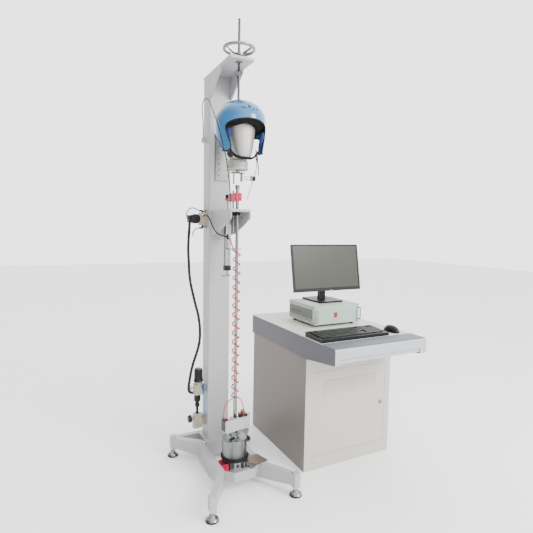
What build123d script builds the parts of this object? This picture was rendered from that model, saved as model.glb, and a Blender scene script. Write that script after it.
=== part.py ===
from build123d import *
import math
import os

# Helmet retention tester: a tall test stand with a headform and helmet hung from a
# hand-wheel spindle, a guide rod with a drop weight below it, and a control desk.
# Millimetres, +Z up, machine front towards -Y. Everything is drawn with the drop axis
# at x = y = 0 and moved at the end, so that the origin is the middle of the footprint.

# Shared clearances
run_gap = 0.3          # between faces of pieces that move past each other
fit_gap = 0.05         # radial, shaft in bore

# Stand: base frame
bar_w = 30
bar_top = 110
rail_x = 105
rail_front = -85
rail_rear = 262
rail_bottom = 30
leg_tip_bottom = 54
front_foot = (217, -263)
rear_foot = (228, 362)
post_w = 31
post_bottom = 40
post_top = 118
nose_x = 56
nose_y = -134
nose_wall = 5
nose_bottom = 62

# Feet
foot_r = 31
foot_dome_h = 26
foot_stud_r = 6
foot_stud_in = 24

# Column and top arm
col_w = 124
col_d = 100
col_wall = 6
col_corner = 8
col_front = 240
col_bottom = 112
col_top = 2105
arm_front = -45
arm_t = 13
gusset_t = 8
gusset_reach = 160
gusset_drop = 110

# Hand wheel and lifting spindle
wheel_d = 160
rim_d = 14.5
rim_z = 2165
hub_r = 27
hub_z = 2142
journal_r = 12
nut_af = 34
nut_h = 9
spindle_r = 6
spindle_top = 2306
eye_r = 10
eye_wire = 3.5
eye_z = 2072
ring_r = 15
ring_wire = 3.25

# Headform and helmet
hang_rod_r = 6
crown_z = 1905
head_w = 146
head_l = 188
chin_z = 1640
collar_r = 51
collar_z = 1589
collar_h = 46
helmet_w = 242
helmet_l = 278
helmet_y = -20
helmet_top = 1937
helmet_mid = 1815
shell_t = 4
brim_z = 1822
cheek_z = 1663
nape_z = 1690
strap_way_top = 1738

# Stirrup under the chin
stud_h = 10
tee_w = 68
tee_d = 32
tee_t = 4
pin_r = 5.5
arm_rod_r = 2
knob_d = 24

# Guide rod, clamp and sensor
guide_r = 8
guide_bottom = 58
guide_top = 1500
cap_r = 12
cap_h = 18
brace_y = 52
brace_r = 5
brace_bottom = 1280
brace_top = 1494
sensor_y = 127
sensor_rod_r = 3
clamp_w = 33
clamp_z = 1440
clamp_h = 39
clamp_front = -20
clamp_rear = 82

# Mid bracket
brk_w = 106
brk_front = -47
brk_top = 1398
brk_t = 12
brk_side_t = 5.5
brk_back_z = 1263
bush_r = 13
bush_drop = 17
bush_collar_h = 3
sensor_w = 28
sensor_bottom = 1110
sensor_cap_h = 27
sensor_cap_w = 34

# Coil hose
coil_r = 21
coil_hose_d = 6.5
coil_top = 1200
coil_bottom = 440

# Drop weight, end stop and gripper
weight_r = 64
weight_bottom = 120
weight_h = 106
weight_bore = 8.5
neck_r = 15.5
neck_h = 26
buffer_r = 71.5
buffer_h = 15
stop_r = 42.5
stop_bottom = 50
stop_top = 112
flange_t = 8
carriage_yaw = 8
plate_z = 277
plate_h = 60
plate_t = 12
plate_front = -40
sleeve_r = 9.8

# Desk
desk_l = 350
desk_r = 944
cab_l = 357
cab_front = -113
cab_rear = 529
cab_h = 627
sheet = 4
desk_front = -373
desk_rear = 539
desk_top = 743
door_x0 = 403
door_x1 = 905
door_z0 = 74
door_z1 = 545
door_gap = 1
door_t = 18
lock_x = 876
lock_z = 307
lock_r = 9
tray_x0 = 379
tray_x1 = 898
tray_top = 690
tray_h = 22
tray_d = 232

# Instrument, monitor, keyboard, mouse
box_x0 = 511
box_x1 = 828
box_y0 = 52
box_y1 = 339
box_z0 = 755
box_z1 = 866
mon_x = 686
mon_y = 205
mon_z = 1073
mon_w = 489
mon_h = 286
mon_t = 14
mon_tilt = 10
kb_x0 = 355
kb_x1 = 790
kb_y0 = -253
kb_y1 = -98
kb_h = 22
mouse_x = 868
mouse_y = -190
mouse_w = 62
mouse_l = 110
mouse_h = 36
button_gap = 0.5
button_t = 2.5
button_room = 1.6
button_rear = mouse_y + 4
switch_x = 658
switch_z = 808

# Where the drop axis stands in the part's own frame: the footprint's middle is the origin
left_reach = rear_foot[0] + foot_r
axis_x = -(desk_r - left_reach) / 2
axis_y = -(desk_front + desk_rear) / 2


def block(x0, x1, y0, y1, z0, z1):
    return Pos((x0 + x1) / 2, (y0 + y1) / 2, (z0 + z1) / 2) * Box(x1 - x0, y1 - y0, z1 - z0)


def post(x, y, z0, z1, r):
    return Pos(x, y, (z0 + z1) / 2) * Cylinder(r, z1 - z0)


def pin_along_x(x0, x1, y, z, r):
    return Pos((x0 + x1) / 2, y, z) * Rot(0, 90, 0) * Cylinder(r, x1 - x0)


def pin_along_y(x, y0, y1, z, r):
    return Pos(x, (y0 + y1) / 2, z) * Rot(90, 0, 0) * Cylinder(r, y1 - y0)


def side_prism(pts, x0, x1):
    """A side profile of (y, z) points, extruded across the width."""
    return extrude(Plane.YZ.offset(x0) * Polygon(*pts, align=None), amount=x1 - x0, dir=(1, 0, 0))


def front_prism(pts, y0, y1):
    return extrude(Plane.XZ.offset(-y0) * Polygon(*pts, align=None), amount=y1 - y0, dir=(0, 1, 0))


def flat_prism(pts, z0, z1):
    return extrude(Plane.XY.offset(z0) * Polygon(*pts, align=None), amount=z1 - z0, dir=(0, 0, 1))


def turned(pts):
    """A body of revolution about Z from (radius, z) points."""
    return revolve(Plane.XZ * Polygon(*pts, align=None), Axis.Z)


def tapered_bar(start, end, low_start, low_end):
    """A bar between two plan points, level on top and rising underneath."""
    run = Vector(end[0] - start[0], end[1] - start[1], 0)
    along = run.normalized()
    face = Plane(origin=(start[0], start[1], 0), x_dir=along, z_dir=along.cross(Vector(0, 0, 1)))
    profile = [(0, low_start), (run.length, low_end), (run.length, bar_top), (0, bar_top)]
    return extrude(face * Polygon(*profile, align=None), amount=bar_w / 2, both=True)


def hose(pts, d, name):
    """A round hose of straight runs and the largest tangent arcs that the runs allow."""
    spots = [Vector(*p) for p in pts]
    radii = []
    for before, here, after in zip(spots, spots[1:], spots[2:]):
        turn = math.radians((here - before).get_angle(after - here))
        short = min((here - before).length, (after - here).length)
        radii.append(0.45 * short / math.tan(turn / 2))
    path = FilletPolyline(*spots, radius=radii)
    print(name, "length", round(path.length), "radii", [round(r) for r in radii])
    section = Plane(origin=path @ 0, z_dir=path % 0) * Circle(d / 2)
    return sweep(section, path=path)


def base_frame():
    frame = None
    for side in (-1, 1):
        x = side * rail_x
        rail = block(x - bar_w / 2, x + bar_w / 2, rail_front, rail_rear, rail_bottom, bar_top)
        frame = rail if frame is None else frame + rail
        tip = (side * front_foot[0], front_foot[1])
        frame += tapered_bar((x, rail_front + 4), tip, rail_bottom, leg_tip_bottom)
        rear = (side * rear_foot[0], rear_foot[1])
        frame += tapered_bar((x, rail_rear - 12), rear, rail_bottom, leg_tip_bottom)
        for spot in (tip, rear):
            corner = block(spot[0] - post_w / 2, spot[0] + post_w / 2, spot[1] - post_w / 2,
                           spot[1] + post_w / 2, post_bottom, post_top)
            low_edges = corner.edges().filter_by(Axis.Y).sort_by(Axis.Z)[:2].sort_by(Axis.X)
            frame += chamfer(low_edges[-1] if side > 0 else low_edges[0], 9)
    frame += block(-rear_foot[0], rear_foot[0], rear_foot[1] - bar_w / 2, rear_foot[1] + bar_w / 2,
                   leg_tip_bottom, bar_top)
    # Cross member and foot plate that carry the column
    frame += block(-rail_x, rail_x, 214, 238, rail_bottom, bar_top - 12)
    frame += block(-78, 78, 214, rear_foot[1], col_bottom - 14, col_bottom)
    # Open nose in front of the guide rod
    x = rail_x
    t = nose_wall
    outer = [(-x, rail_front), (-nose_x, nose_y), (nose_x, nose_y), (x, rail_front)]
    inner = [(x - t - 2, rail_front), (nose_x - t / 2, nose_y + t), (-nose_x + t / 2, nose_y + t),
             (-x + t + 2, rail_front)]
    frame += flat_prism(outer + inner, nose_bottom, bar_top)
    for spot in (front_foot, rear_foot):
        for side in (-1, 1):
            frame -= post(side * spot[0], spot[1], post_bottom - 1, post_bottom + foot_stud_in + 1,
                          foot_stud_r + fit_gap)
    return frame


def foot(x, y):
    stud_top = post_bottom + foot_stud_in
    pad = turned([(0, 0), (foot_r - 2, 0), (foot_r, 2), (foot_r, 8), (foot_r - 5, 15), (14, foot_dome_h - 2),
                  (12, foot_dome_h), (12, post_bottom - run_gap - 6), (0, post_bottom - run_gap - 6)])
    lock_nut = Pos(0, 0, post_bottom - run_gap - 6) * extrude(RegularPolygon(11, 6), amount=6)
    return Pos(x, y, 0) * (pad + lock_nut + post(0, 0, 20, stud_top, foot_stud_r))


def column():
    low = Plane.XY.offset(col_bottom)
    centre = Pos(0, col_front + col_d / 2, 0)
    outer = extrude(low * RectangleRounded(col_w, col_d, col_corner), amount=col_top - col_bottom)
    inner = extrude(low * RectangleRounded(col_w - 2 * col_wall, col_d - 2 * col_wall, 3),
                    amount=col_top - col_bottom)
    cable_hole = pin_along_y(0, col_d / 2 - 20, col_d / 2 + 10, 260, 15)
    clip = block(-84, -col_w / 2, 290, 310, 1766, 1790)
    return centre * (outer - inner - cable_hole) + clip


def top_arm():
    rear = col_front + col_d
    plate = block(-col_w / 2, col_w / 2, arm_front, rear, col_top, col_top + arm_t)
    plate -= post(0, 0, col_top - 1, col_top + arm_t + 1, journal_r + fit_gap)
    edge = col_front - gusset_reach
    profile = [(col_front, col_top), (edge, col_top), (edge, col_top - 10),
               (col_front - 8, col_top - gusset_drop), (col_front, col_top - gusset_drop)]
    for side in (-1, 1):
        outside = side * col_w / 2
        inside = outside - side * gusset_t
        plate += side_prism(profile, min(inside, outside), max(inside, outside))
    return plate


def adjustment_plate():
    strip = block(-30, 48, col_front - 8, col_front, 1560, 1863)
    for row in range(9):
        for x in (-12, 36):
            strip -= pin_along_y(x, col_front - 10, col_front + 2, 1588 + 30 * row, 3.3)
    return strip


def guide_bracket():
    half = brk_w / 2
    plate = block(-half, half, brk_front, col_front, brk_top - brk_t, brk_top)
    back = block(-half, half, col_front - 6, col_front, brk_back_z, brk_top)
    profile = [(brk_front, brk_top), (brk_front, 1356), (21, 1323), (134, 1278),
               (col_front, brk_back_z), (col_front, brk_top)]
    body = plate + back
    for side in (-1, 1):
        outside = side * half
        inside = outside - side * brk_side_t
        body += side_prism(profile, min(inside, outside), max(inside, outside))
    for y in (0, brace_y):
        body -= post(0, y, brk_top - brk_t - 1, brk_top + 1, bush_r - 2)
    body -= post(0, sensor_y, brk_top - brk_t - 1, brk_top + 1, sensor_rod_r + 1)
    return body


def guide_bushes():
    low = brk_top - brk_t
    bushes = []
    for y, r in ((0, guide_r), (brace_y, brace_r)):
        bush = post(0, y, low - bush_drop, low, bush_r) + post(0, y, low, brk_top, bush_r - 2)
        bush += post(0, y, brk_top, brk_top + bush_collar_h, bush_r)
        bushes.append(bush - post(0, y, low - bush_drop - 1, brk_top + 9, r + fit_gap))
    return Compound(bushes)


def sensor_body():
    top = brk_top - brk_t
    half = sensor_w / 2
    body = block(-half, half, sensor_y - half, sensor_y + half, sensor_bottom, top)
    for turn in range(4):
        groove = Pos(0, sensor_y, 0) * Rot(0, 0, 90 * turn) * block(-3, 3, half - 3, half + 1,
                                                                 sensor_bottom - 1, top + 1)
        body -= groove
    return body - post(0, sensor_y, 1290, top + 1, sensor_rod_r + 0.5)


def sensor_cap():
    half = sensor_cap_w / 2
    low = sensor_bottom - sensor_cap_h
    cap = block(-half, half, sensor_y - half, sensor_y + half, low, sensor_bottom)
    cap = chamfer(cap.edges().filter_by(Axis.Z), 4)
    cap += post(0, sensor_y, low - 22, low, 4)
    wing = block(-30, 18, sensor_y - 3, sensor_y + 3, low - 33, low - 22)
    return cap + chamfer(wing.edges().filter_by(Axis.Y), 4)


def hose_clip():
    """Arm on the sensor housing that holds the top of the coil hose and its splitter."""
    half = sensor_w / 2
    face = sensor_y - half
    arm = block(-8, 8, face - 8, face, coil_top - 6, coil_top + 72)
    arm += block(-5, 5, coil_r - 1, face - 8, coil_top - 6, coil_top + 2)
    ring = post(0, 0, coil_top, coil_top + 5, coil_r + 2) - post(0, 0, coil_top - 9, coil_top + 9, 13)
    arm = arm + ring - post(0, 0, coil_top - 9, coil_top, coil_r + 4)
    arm += flat_prism([(-8, face - 8), (4, face - 8), (-20, 66), (-30, 66)], coil_top + 58, coil_top + 66)
    return arm + post(-25, 62, coil_top + 48, coil_top + 74, 6)


def hand_wheel():
    rim = Pos(0, 0, rim_z) * Torus(wheel_d / 2 - rim_d / 2, rim_d / 2)
    seat = col_top + arm_t + run_gap
    nut_top = col_top - run_gap
    hub = turned([(spindle_r + fit_gap, seat), (journal_r + 6, seat), (journal_r + 6, hub_z - 14),
                  (hub_r, hub_z - 10), (hub_r, hub_z - 3), (hub_r - 4, hub_z), (spindle_r + fit_gap, hub_z)])
    journal = post(0, 0, nut_top - nut_h, seat + 1, journal_r)
    nut = Pos(0, 0, nut_top - nut_h) * extrude(RegularPolygon(nut_af / 2, 6), amount=nut_h)
    wheel = rim + hub
    reach = wheel_d / 2 - rim_d / 2
    for spoke in range(3):
        profile = [(18, hub_z - 9), (reach - 3, rim_z - 4), (reach + 1, rim_z + 4), (18, hub_z - 1)]
        web = extrude(Plane.XZ * Polygon(*profile, align=None), amount=7, both=True)
        wheel += Rot(0, 0, 120 * spoke + 70) * web
    return wheel + journal + nut - post(0, 0, nut_top - 20, seat + 5, spindle_r + fit_gap)


def lift_spindle():
    shank = post(0, 0, eye_z + eye_r, spindle_top - 3, spindle_r)
    tip = Pos(0, 0, spindle_top - 1.5) * Cone(spindle_r, spindle_r - 2, 3)
    eye = Pos(0, 0, eye_z) * Rot(0, 90, 0) * Torus(eye_r, eye_wire)
    return shank + tip + eye


def ring_centre():
    return eye_z - eye_r + eye_wire + run_gap + ring_wire - ring_r


def hanger():
    z = ring_centre()
    ring = Pos(0, 0, z) * Rot(90, 0, 0) * Torus(ring_r, ring_wire)
    low = z - ring_r
    nut = post(0, 0, low - 9, low, 9)
    return ring + nut + post(0, 0, crown_z, low - 8, hang_rod_r)


def oval(z, half_w, front, rear):
    centre = Plane(origin=(0, (front + rear) / 2, z))
    return centre * Ellipse(half_w, (rear - front) / 2)


def headform():
    half = head_w / 2
    rear = head_l / 2
    skull = [oval(1700, 56, -78, 66), oval(1745, 68, -88, rear - 10), oval(1800, half, -94, rear),
             oval(1850, half - 7, -86, rear - 7), oval(1885, 42, -52, 56), oval(crown_z, 16, -18, 22)]
    jaw = [oval(chin_z, 29, -90, 4), oval(1668, 42, -97, 26), oval(1702, 55, -94, 56)]
    head = loft(skull) + loft(jaw)
    throat = post(0, 0, collar_z + collar_h, 1720, collar_r - 7)
    collar = turned([(0, collar_z), (collar_r - 3, collar_z), (collar_r, collar_z + 3),
                     (collar_r, collar_z + 14), (collar_r - 3, collar_z + 16), (collar_r - 3, collar_z + 20),
                     (collar_r, collar_z + 22), (collar_r, collar_z + collar_h - 3),
                     (collar_r - 4, collar_z + collar_h), (0, collar_z + collar_h)])
    return head + throat + collar + post(0, 0, collar_z - stud_h, collar_z, 9)


def dome(inset, cut=0):
    """The helmet's outer form, drawn in by the inset and closed at its lower rim."""
    half = helmet_w / 2 - inset
    length = helmet_l / 2 - inset
    height = helmet_top - helmet_mid - inset
    cap = Pos(0, helmet_y, helmet_mid) * scale(Sphere(1), by=(half, length, height))
    cap &= block(-200, 200, -300, 300, helmet_mid, helmet_top + 5)
    low = cheek_z - 12 + cut
    drop = helmet_mid - low
    skirt = loft([Pos(0, helmet_y, helmet_mid) * Ellipse(half, length),
                  Pos(0, helmet_y, helmet_mid - drop / 2) * Ellipse(half - 3, length - 4),
                  Pos(0, helmet_y, low) * Ellipse(half - 13, length - 16)])
    return cap + skirt


def face_cut(inset):
    """Face opening and lower rim in side view, cut right across."""
    y = helmet_y
    front = y - helmet_l
    rear = y + helmet_l
    opening = [(front, cheek_z - 60), (rear, cheek_z - 60), (rear, nape_z + 8 + inset),
               (y + 60, nape_z + inset), (y + 4, cheek_z + 14 + inset), (y - 40, cheek_z + inset),
               (y - 76 + inset, cheek_z + 2 + inset), (y - 86 + inset, cheek_z + 40),
               (y - 74 + inset, brim_z - 44), (y - 62 + inset, brim_z - 16), (y - 84, brim_z + inset),
               (front, brim_z + inset)]
    return side_prism(opening, -200, 200)


def helmet_shell():
    bore = post(0, 0, 1800, 2000, hang_rod_r + 1)
    return dome(0) - dome(shell_t, -3) - face_cut(0) - bore


def helmet_liner():
    gap = 0.15
    half = head_w / 2 + 2
    hollow = loft([oval(1640, half - 8, -108, 80), oval(1700, half - 4, -112, 90),
                   oval(1800, half, -112, 98), oval(1850, half - 5, -104, 90), oval(crown_z + run_gap, 36, -42, 48)])
    bore = post(0, 0, 1800, 2000, hang_rod_r + 1)
    strap_way = block(-90, 90, -88, -62, 1600, strap_way_top)
    return dome(shell_t + gap) - hollow - face_cut(3) - bore - strap_way


def chin_strap():
    """One band from ear to ear below the chin, clear of the headform."""
    top = strap_way_top - run_gap
    low = chin_z - run_gap
    outer = [(-84, top), (-78, 1690), (-52, 1645), (-30, low - 2.5), (30, low - 2.5), (52, 1645), (78, 1690),
             (84, top)]
    inner = [(81, top), (75.5, 1691), (50, 1648), (29, low), (-29, low), (-50, 1648), (-75.5, 1691), (-81, top)]
    band = front_prism(outer + inner, -82, -68)
    buckle = Pos(66, -75, 1663) * Rot(0, 30, 0) * Box(7, 22, 26)
    return band + buckle


def stirrup():
    top = collar_z - stud_h
    plate = block(-tee_w / 2, tee_w / 2, -tee_d / 2, tee_d / 2, top - tee_t, top)
    plate = fillet(plate.edges().filter_by(Axis.Z), 6)
    body = plate + post(-20, 0, 1522, top - tee_t, pin_r) + post(20, 0, 1536, top - tee_t, pin_r)
    for z in (1549, 1561):
        body += pin_along_x(20, 74, 0, z, arm_rod_r)
    body += block(72, 79, -7, 7, 1542, 1568)
    return body + pin_along_x(79, 92, 0, 1555, 3)


def stirrup_knob():
    start = 79 + run_gap
    body = pin_along_x(start, start + 15, 0, 1555, knob_d / 2)
    body = fillet(body.edges().filter_by(GeomType.CIRCLE).sort_by(Axis.X)[-1], 2.5)
    return body - pin_along_x(79, 93, 0, 1555, 3 + fit_gap)


def guide_rod():
    cap = turned([(0, guide_top), (cap_r, guide_top), (cap_r, guide_top + cap_h - 4),
                  (cap_r - 3, guide_top + cap_h), (0, guide_top + cap_h)])
    return post(0, 0, guide_bottom, guide_top, guide_r) + cap


def upper_clamp():
    half = clamp_w / 2
    top = clamp_z + clamp_h
    bar = block(-half, half, clamp_front, clamp_rear, clamp_z, top)
    bar = chamfer(bar.edges().filter_by(Axis.Z), 2)
    bar += block(-11, 11, clamp_rear, sensor_y + 13, clamp_z + 9, clamp_z + 18)
    bar -= post(0, 0, clamp_z - 1, top + 1, guide_r + fit_gap)
    bar -= post(0, brace_y, clamp_z - 1, top + 1, brace_r + fit_gap)
    bar -= post(0, sensor_y, clamp_z - 1, top + 1, sensor_rod_r + fit_gap)
    bar -= block(-1, 1, clamp_front - 1, 0, clamp_z - 1, top + 1)
    for z in (clamp_z + 10, clamp_z + 29):
        bar -= pin_along_x(-half - 1, -half + 5, -13, z, 4)
    return bar


def tie_rods():
    brace = post(0, brace_y, brace_bottom, brace_top, brace_r)
    sensor = post(0, sensor_y, 1335, clamp_z + 39, sensor_rod_r)
    collar = post(0, sensor_y, clamp_z + 3, clamp_z + 9, 6)
    return Compound([brace, sensor + collar])


def clamp_knob():
    low = clamp_z + 18 + run_gap
    knob = post(0, sensor_y, low, low + 20, 12)
    for cut in range(8):
        spot = Pos(0, sensor_y, 0) * Rot(0, 0, 45 * cut) * post(13.5, 0, low - 1, low + 16, 3)
        knob -= spot
    return knob - post(0, sensor_y, low - 1, clamp_z + 39.5, sensor_rod_r + fit_gap)


def end_stop():
    flange_top = stop_bottom + flange_t
    plate = block(-80, 78, -22, 22, stop_bottom, flange_top)
    body = plate + Pos(0, 0, stop_bottom) * Rot(0, 0, 22.5) * extrude(
        RegularPolygon(stop_r / math.cos(math.pi / 8), 8), amount=stop_top - stop_bottom)
    body += post(0, 0, stop_top, weight_bottom - run_gap, 28)
    for x in (51, 68):
        body += post(x, -13, stop_bottom, 99, 6.5)
        body -= post(x, -13, 94, 100, 3)
    body -= pin_along_y(0, -stop_r - 2, -stop_r + 14, 86, 10)
    return body - post(0, 0, guide_bottom, weight_bottom + 5, guide_r + fit_gap)


def stop_clamp():
    """Red block on the end stop's flange."""
    low = stop_bottom + flange_t
    bar = block(-80, -stop_r - 0.2, -28, 26, low, 104)
    bar = chamfer(bar.edges().filter_by(Axis.Y), 3)
    return bar - pin_along_y(-62, -30, -20, 88, 4)


def stop_plate():
    outline = [(20, -56), (62, -15), (124, -17), (148, -96), (78, -110)]
    plate = flat_prism(outline, bar_top, bar_top + 4)
    return plate - post(54, -34, bar_top - 1, bar_top + 5, 4)


def drop_weight():
    top = weight_bottom + weight_h
    tip = top + neck_h
    return turned([(weight_bore, weight_bottom), (weight_r, weight_bottom), (weight_r, top - 3),
                   (weight_r - 3, top), (neck_r, top), (neck_r, top + 5), (neck_r - 1.5, top + 7),
                   (neck_r - 1.5, tip - 8), (neck_r, tip - 6), (neck_r, tip - 1), (neck_r - 1, tip),
                   (weight_bore, tip)])


def weight_ring():
    return turned([(weight_r + 0.1, weight_bottom), (buffer_r - 1, weight_bottom),
                   (buffer_r, weight_bottom + 2), (buffer_r, weight_bottom + buffer_h - 2),
                   (buffer_r - 1, weight_bottom + buffer_h), (weight_r + 0.1, weight_bottom + buffer_h)])


def on_carriage(solid):
    return Rot(0, 0, carriage_yaw) * solid


def carriage():
    top = plate_z + plate_h
    back = plate_front + plate_t
    plate = block(-73, 68, plate_front, back, plate_z, top)
    plate += block(50, 68, plate_front, back, top, top + 15)
    plate = chamfer(plate.edges().filter_by(Axis.Y).sort_by(Axis.X)[:1], 4)
    body = plate + block(-20, 20, back, 22, plate_z + 8, top - 8)
    body += post(0, 0, top - 10, coil_bottom - 4, sleeve_r)
    body += post(0, 0, coil_bottom - 4, coil_bottom, 17)
    body -= post(0, 0, plate_z - 5, coil_bottom + 5, guide_r + run_gap)
    for x in (-58, 44, 59):
        body -= pin_along_y(x, plate_front - 1, plate_front + 4, plate_z + 15, 3.5)
    return on_carriage(body)


def gripper_cylinders():
    back = plate_front + plate_t
    left = block(-74, -44, back, 12, plate_z + 3, 334)
    left = chamfer(left.edges().filter_by(Axis.Z), 3) + post(-59, -8, 334, 342, 9)
    left += post(-68, 4, 334, 346, 4)
    right = block(24, 60, back, 12, plate_z + 10, 348)
    right = chamfer(right.edges().filter_by(Axis.Z), 3) + post(42, -8, 348, 364, 11)
    right += post(56, 6, 348, 358, 3)
    return on_carriage(Compound([left, right]))


def jaw(side):
    """One gripper jaw, open to the weight's neck."""
    grip = neck_r + run_gap
    top = plate_z - run_gap
    body = block(4, 46, -14, 14, top - 15, top) + block(4, 26, -14, 14, 234, top)
    body -= post(0, 0, 200, 300, grip)
    body = body if side > 0 else mirror(body, Plane.YZ)
    return on_carriage(body)


def carriage_hoses():
    """Hose, cable and elbow between the coil's foot and the gripper's cylinders."""
    left = hose([(-16, 0, 434), (-32, 4, 428), (-52, 6, 408), (-64, 5, 378), (-68, 4, 346)], 5, "left gripper hose")
    right = hose([(14, 8, 434), (28, 10, 428), (44, 9, 406), (54, 7, 382), (56, 6, 358)], 5, "right gripper hose")
    return on_carriage(Compound([left, right]))


def coil_hose():
    return post(0, 0, coil_bottom, coil_top, coil_r) - post(0, 0, coil_bottom - 1, coil_top + 1,
                                                          coil_r - coil_hose_d)


def air_valve():
    face = -col_w / 2
    body = block(-104, face - 8, 262, 300, 1318, 1388)
    body = chamfer(body.edges().filter_by(Axis.Y), 3)
    body += block(face - 8, face, 256, 306, 1306, 1404)
    for z in (1398, 1304):
        out = 1388 if z > 1350 else 1318
        body += post(-86, 281, min(out, z), max(out, z), 6)
        body += pin_along_x(-104, -86, 281, z, 5)
    return body


def valve_coil():
    drum = pin_along_y(-130, 258, 304, 1353, 26)
    drum = fillet(drum.edges().filter_by(GeomType.CIRCLE), 3) - pin_along_y(-130, 250, 262, 1353, 8)
    drum -= block(-104, -60, 250, 310, 1300, 1400)
    return drum + block(-168, -150, 266, 296, 1334, 1372)


def service_unit():
    """Pressure regulator with bowl, gauge, brass supply valve and wall bracket."""
    face = -col_w / 2
    x, y = -104, 285
    body = block(x - 26, x + 26, y - 24, y + 24, 372, 430)
    body = chamfer(body.edges().filter_by(Axis.Z), 6)
    body += post(x, y, 430, 445, 22)
    bowl = turned([(0, 326), (12, 326), (18, 334), (19, 372), (0, 372)])
    body += Pos(x - 6, y, 0) * bowl
    body += post(x - 6, y, 262, 326, 7) + post(x - 6, y, 300, 318, 13)
    valve = block(x - 30, x + 21, y - 18, y + 18, 178, 258)
    valve = chamfer(valve.edges().filter_by(Axis.Z), 6)
    body += valve + post(x - 6, y, 256, 264, 11)
    body += pin_along_x(x - 41, x - 29, y, 234, 9)
    body += pin_along_x(x - 40, x - 24, y, 412, 5) + pin_along_x(x - 46, x - 39, y, 412, 13)
    body += pin_along_x(x - 33, x - 24, y, 382, 8)
    body += block(x + 20, face, y - 12, y + 12, 384, 418) + block(x + 18, face, y - 12, y + 12, 190, 244)
    return body + pin_along_y(x + 14, y - 36, y - 20, 420, 5)


def regulator_knob():
    x, y = -104, 285
    low = 445 + run_gap
    knob = turned([(0, low), (27, low), (27, low + 6), (24, low + 12), (23, low + 66), (19, low + 73),
                   (0, low + 73)])
    for cut in range(12):
        knob -= Rot(0, 0, 30 * cut) * post(25.5, 0, low + 12, low + 64, 2.5)
    return Pos(x, y, 0) * knob


def supply_knob():
    x, y = -104, 285
    start = x - 41 - run_gap
    knob = pin_along_x(start - 17, start, y, 234, 20.5)
    knob = fillet(knob.edges().filter_by(GeomType.CIRCLE).sort_by(Axis.X)[0], 3)
    for cut in range(10):
        around = math.radians(36 * cut)
        knob -= pin_along_x(start - 15, start + 1, y + 21.5 * math.cos(around),
                            234 + 21.5 * math.sin(around), 2.5)
    return knob


cable_bundle_route = [
    (-158, 281, 1334), (-159, 281, 1300), (-164, 280, 1240), (-166, 280, 1180), (-162, 280, 1120),
    (-160, 280, 1060), (-152, 280, 1000), (-138, 281, 942), (-124, 281, 884), (-108, 281, 828),
    (-99, 281, 772), (-96, 281, 716), (-101, 279, 660), (-118, 277, 606), (-140, 272, 552),
    (-154, 268, 500), (-161, 268, 454), (-165, 272, 424), (-161, 280, 400), (-152, 285, 386),
    (-137, 285, 382)]
upper_line_route = [(-168, 281, 1350), (-176, 281, 1362), (-172, 281, 1392), (-152, 281, 1412),
                    (-128, 281, 1410), (-104, 281, 1398)]
lower_line_route = [(-104, 281, 1304), (-118, 281, 1302), (-136, 281, 1288), (-142, 281, 1262)]
feed_route = [(-86, 262, 1366), (-82, 250, 1376), (-76, 228, 1372), (-70, 204, 1350), (-66, 182, 1322),
              (-62, 158, 1296), (-56, 132, 1276), (-50, 104, 1270), (-42, 80, 1266), (-31, 62, 1260)]
coil_lead_route = [(-20, 58, 1256), (-14, 50, 1250), (-16, 38, 1236), (-18, 24, 1222), (-17, 8, 1206)]
loop_route = [(-76, 300, 1790), (-77, 300, 1830), (-78, 299, 1880), (-84, 299, 1930), (-86, 294, 1968),
              (-80, 272, 1990), (-77, 240, 1985), (-79, 205, 1964), (-85, 165, 1938), (-98, 110, 1905),
              (-111, 55, 1876), (-126, 0, 1843), (-129, -42, 1808), (-131, -80, 1765), (-130, -105, 1722),
              (-124, -119, 1677), (-106, -112, 1627), (-88, -92, 1572), (-73, -72, 1520), (-60, -54, 1470),
              (-52, -42, 1428), (-50, -40, 1398)]
strap_cord_route = [(60, -75, 1654), (64, -73, 1640), (72, -66, 1622), (75, -57, 1602), (72, -48, 1574),
                    (66, -40, 1542), (58, -32, 1510), (50, -25, 1478), (45, -20, 1450)]
side_line_route = [(-78, 261, 420), (-76, 256, 408), (-75, 254, 380), (-77, 253, 340), (-76, 253, 300),
                   (-77, 254, 262), (-80, 262, 240), (-83, 272, 232)]


def cabinet():
    front = cab_front
    body = block(cab_l, desk_r, front, cab_rear, 0, cab_h)
    body -= block(cab_l + sheet, desk_r - sheet, front + sheet, cab_rear - sheet, sheet, cab_h - sheet)
    body -= block(door_x0, door_x1, front - 1, front + sheet + 1, door_z0, door_z1)
    body += block(door_x0 - 20, door_x0, front + sheet, front + 24, door_z0, door_z1)
    for x in (cab_l - 0.1, desk_r - 1.5):
        for z in (cab_h - 30, 40):
            body -= pin_along_x(x, x + 1.6, front + 20, z, 3)
    return body


def cabinet_door():
    x0, x1 = door_x0 + run_gap, door_x1 - door_gap
    z0, z1 = door_z0 + door_gap, door_z1 - door_gap
    skin = 2
    panel = block(x0, x1, cab_front, cab_front + door_t, z0, z1)
    panel -= block(x0 + skin, x1 - skin, cab_front + skin, cab_front + door_t + 1, z0 + skin, z1 - skin)
    for row in range(6):
        z = 362 + 29 * row
        louvre = [(cab_front, z), (cab_front - 5, z + 2), (cab_front, z + 13)]
        panel += side_prism(louvre, 468, 845)
        panel -= block(474, 839, cab_front - 1, cab_front + skin + 1, z - 6, z)
    panel -= block(x1 - 3, x1 + 1, cab_front + skin, cab_front + door_t + 1, lock_z - 12, lock_z + 38)
    return panel - pin_along_y(lock_x, cab_front - 1, cab_front + skin + 1, lock_z, lock_r + fit_gap)


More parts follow.
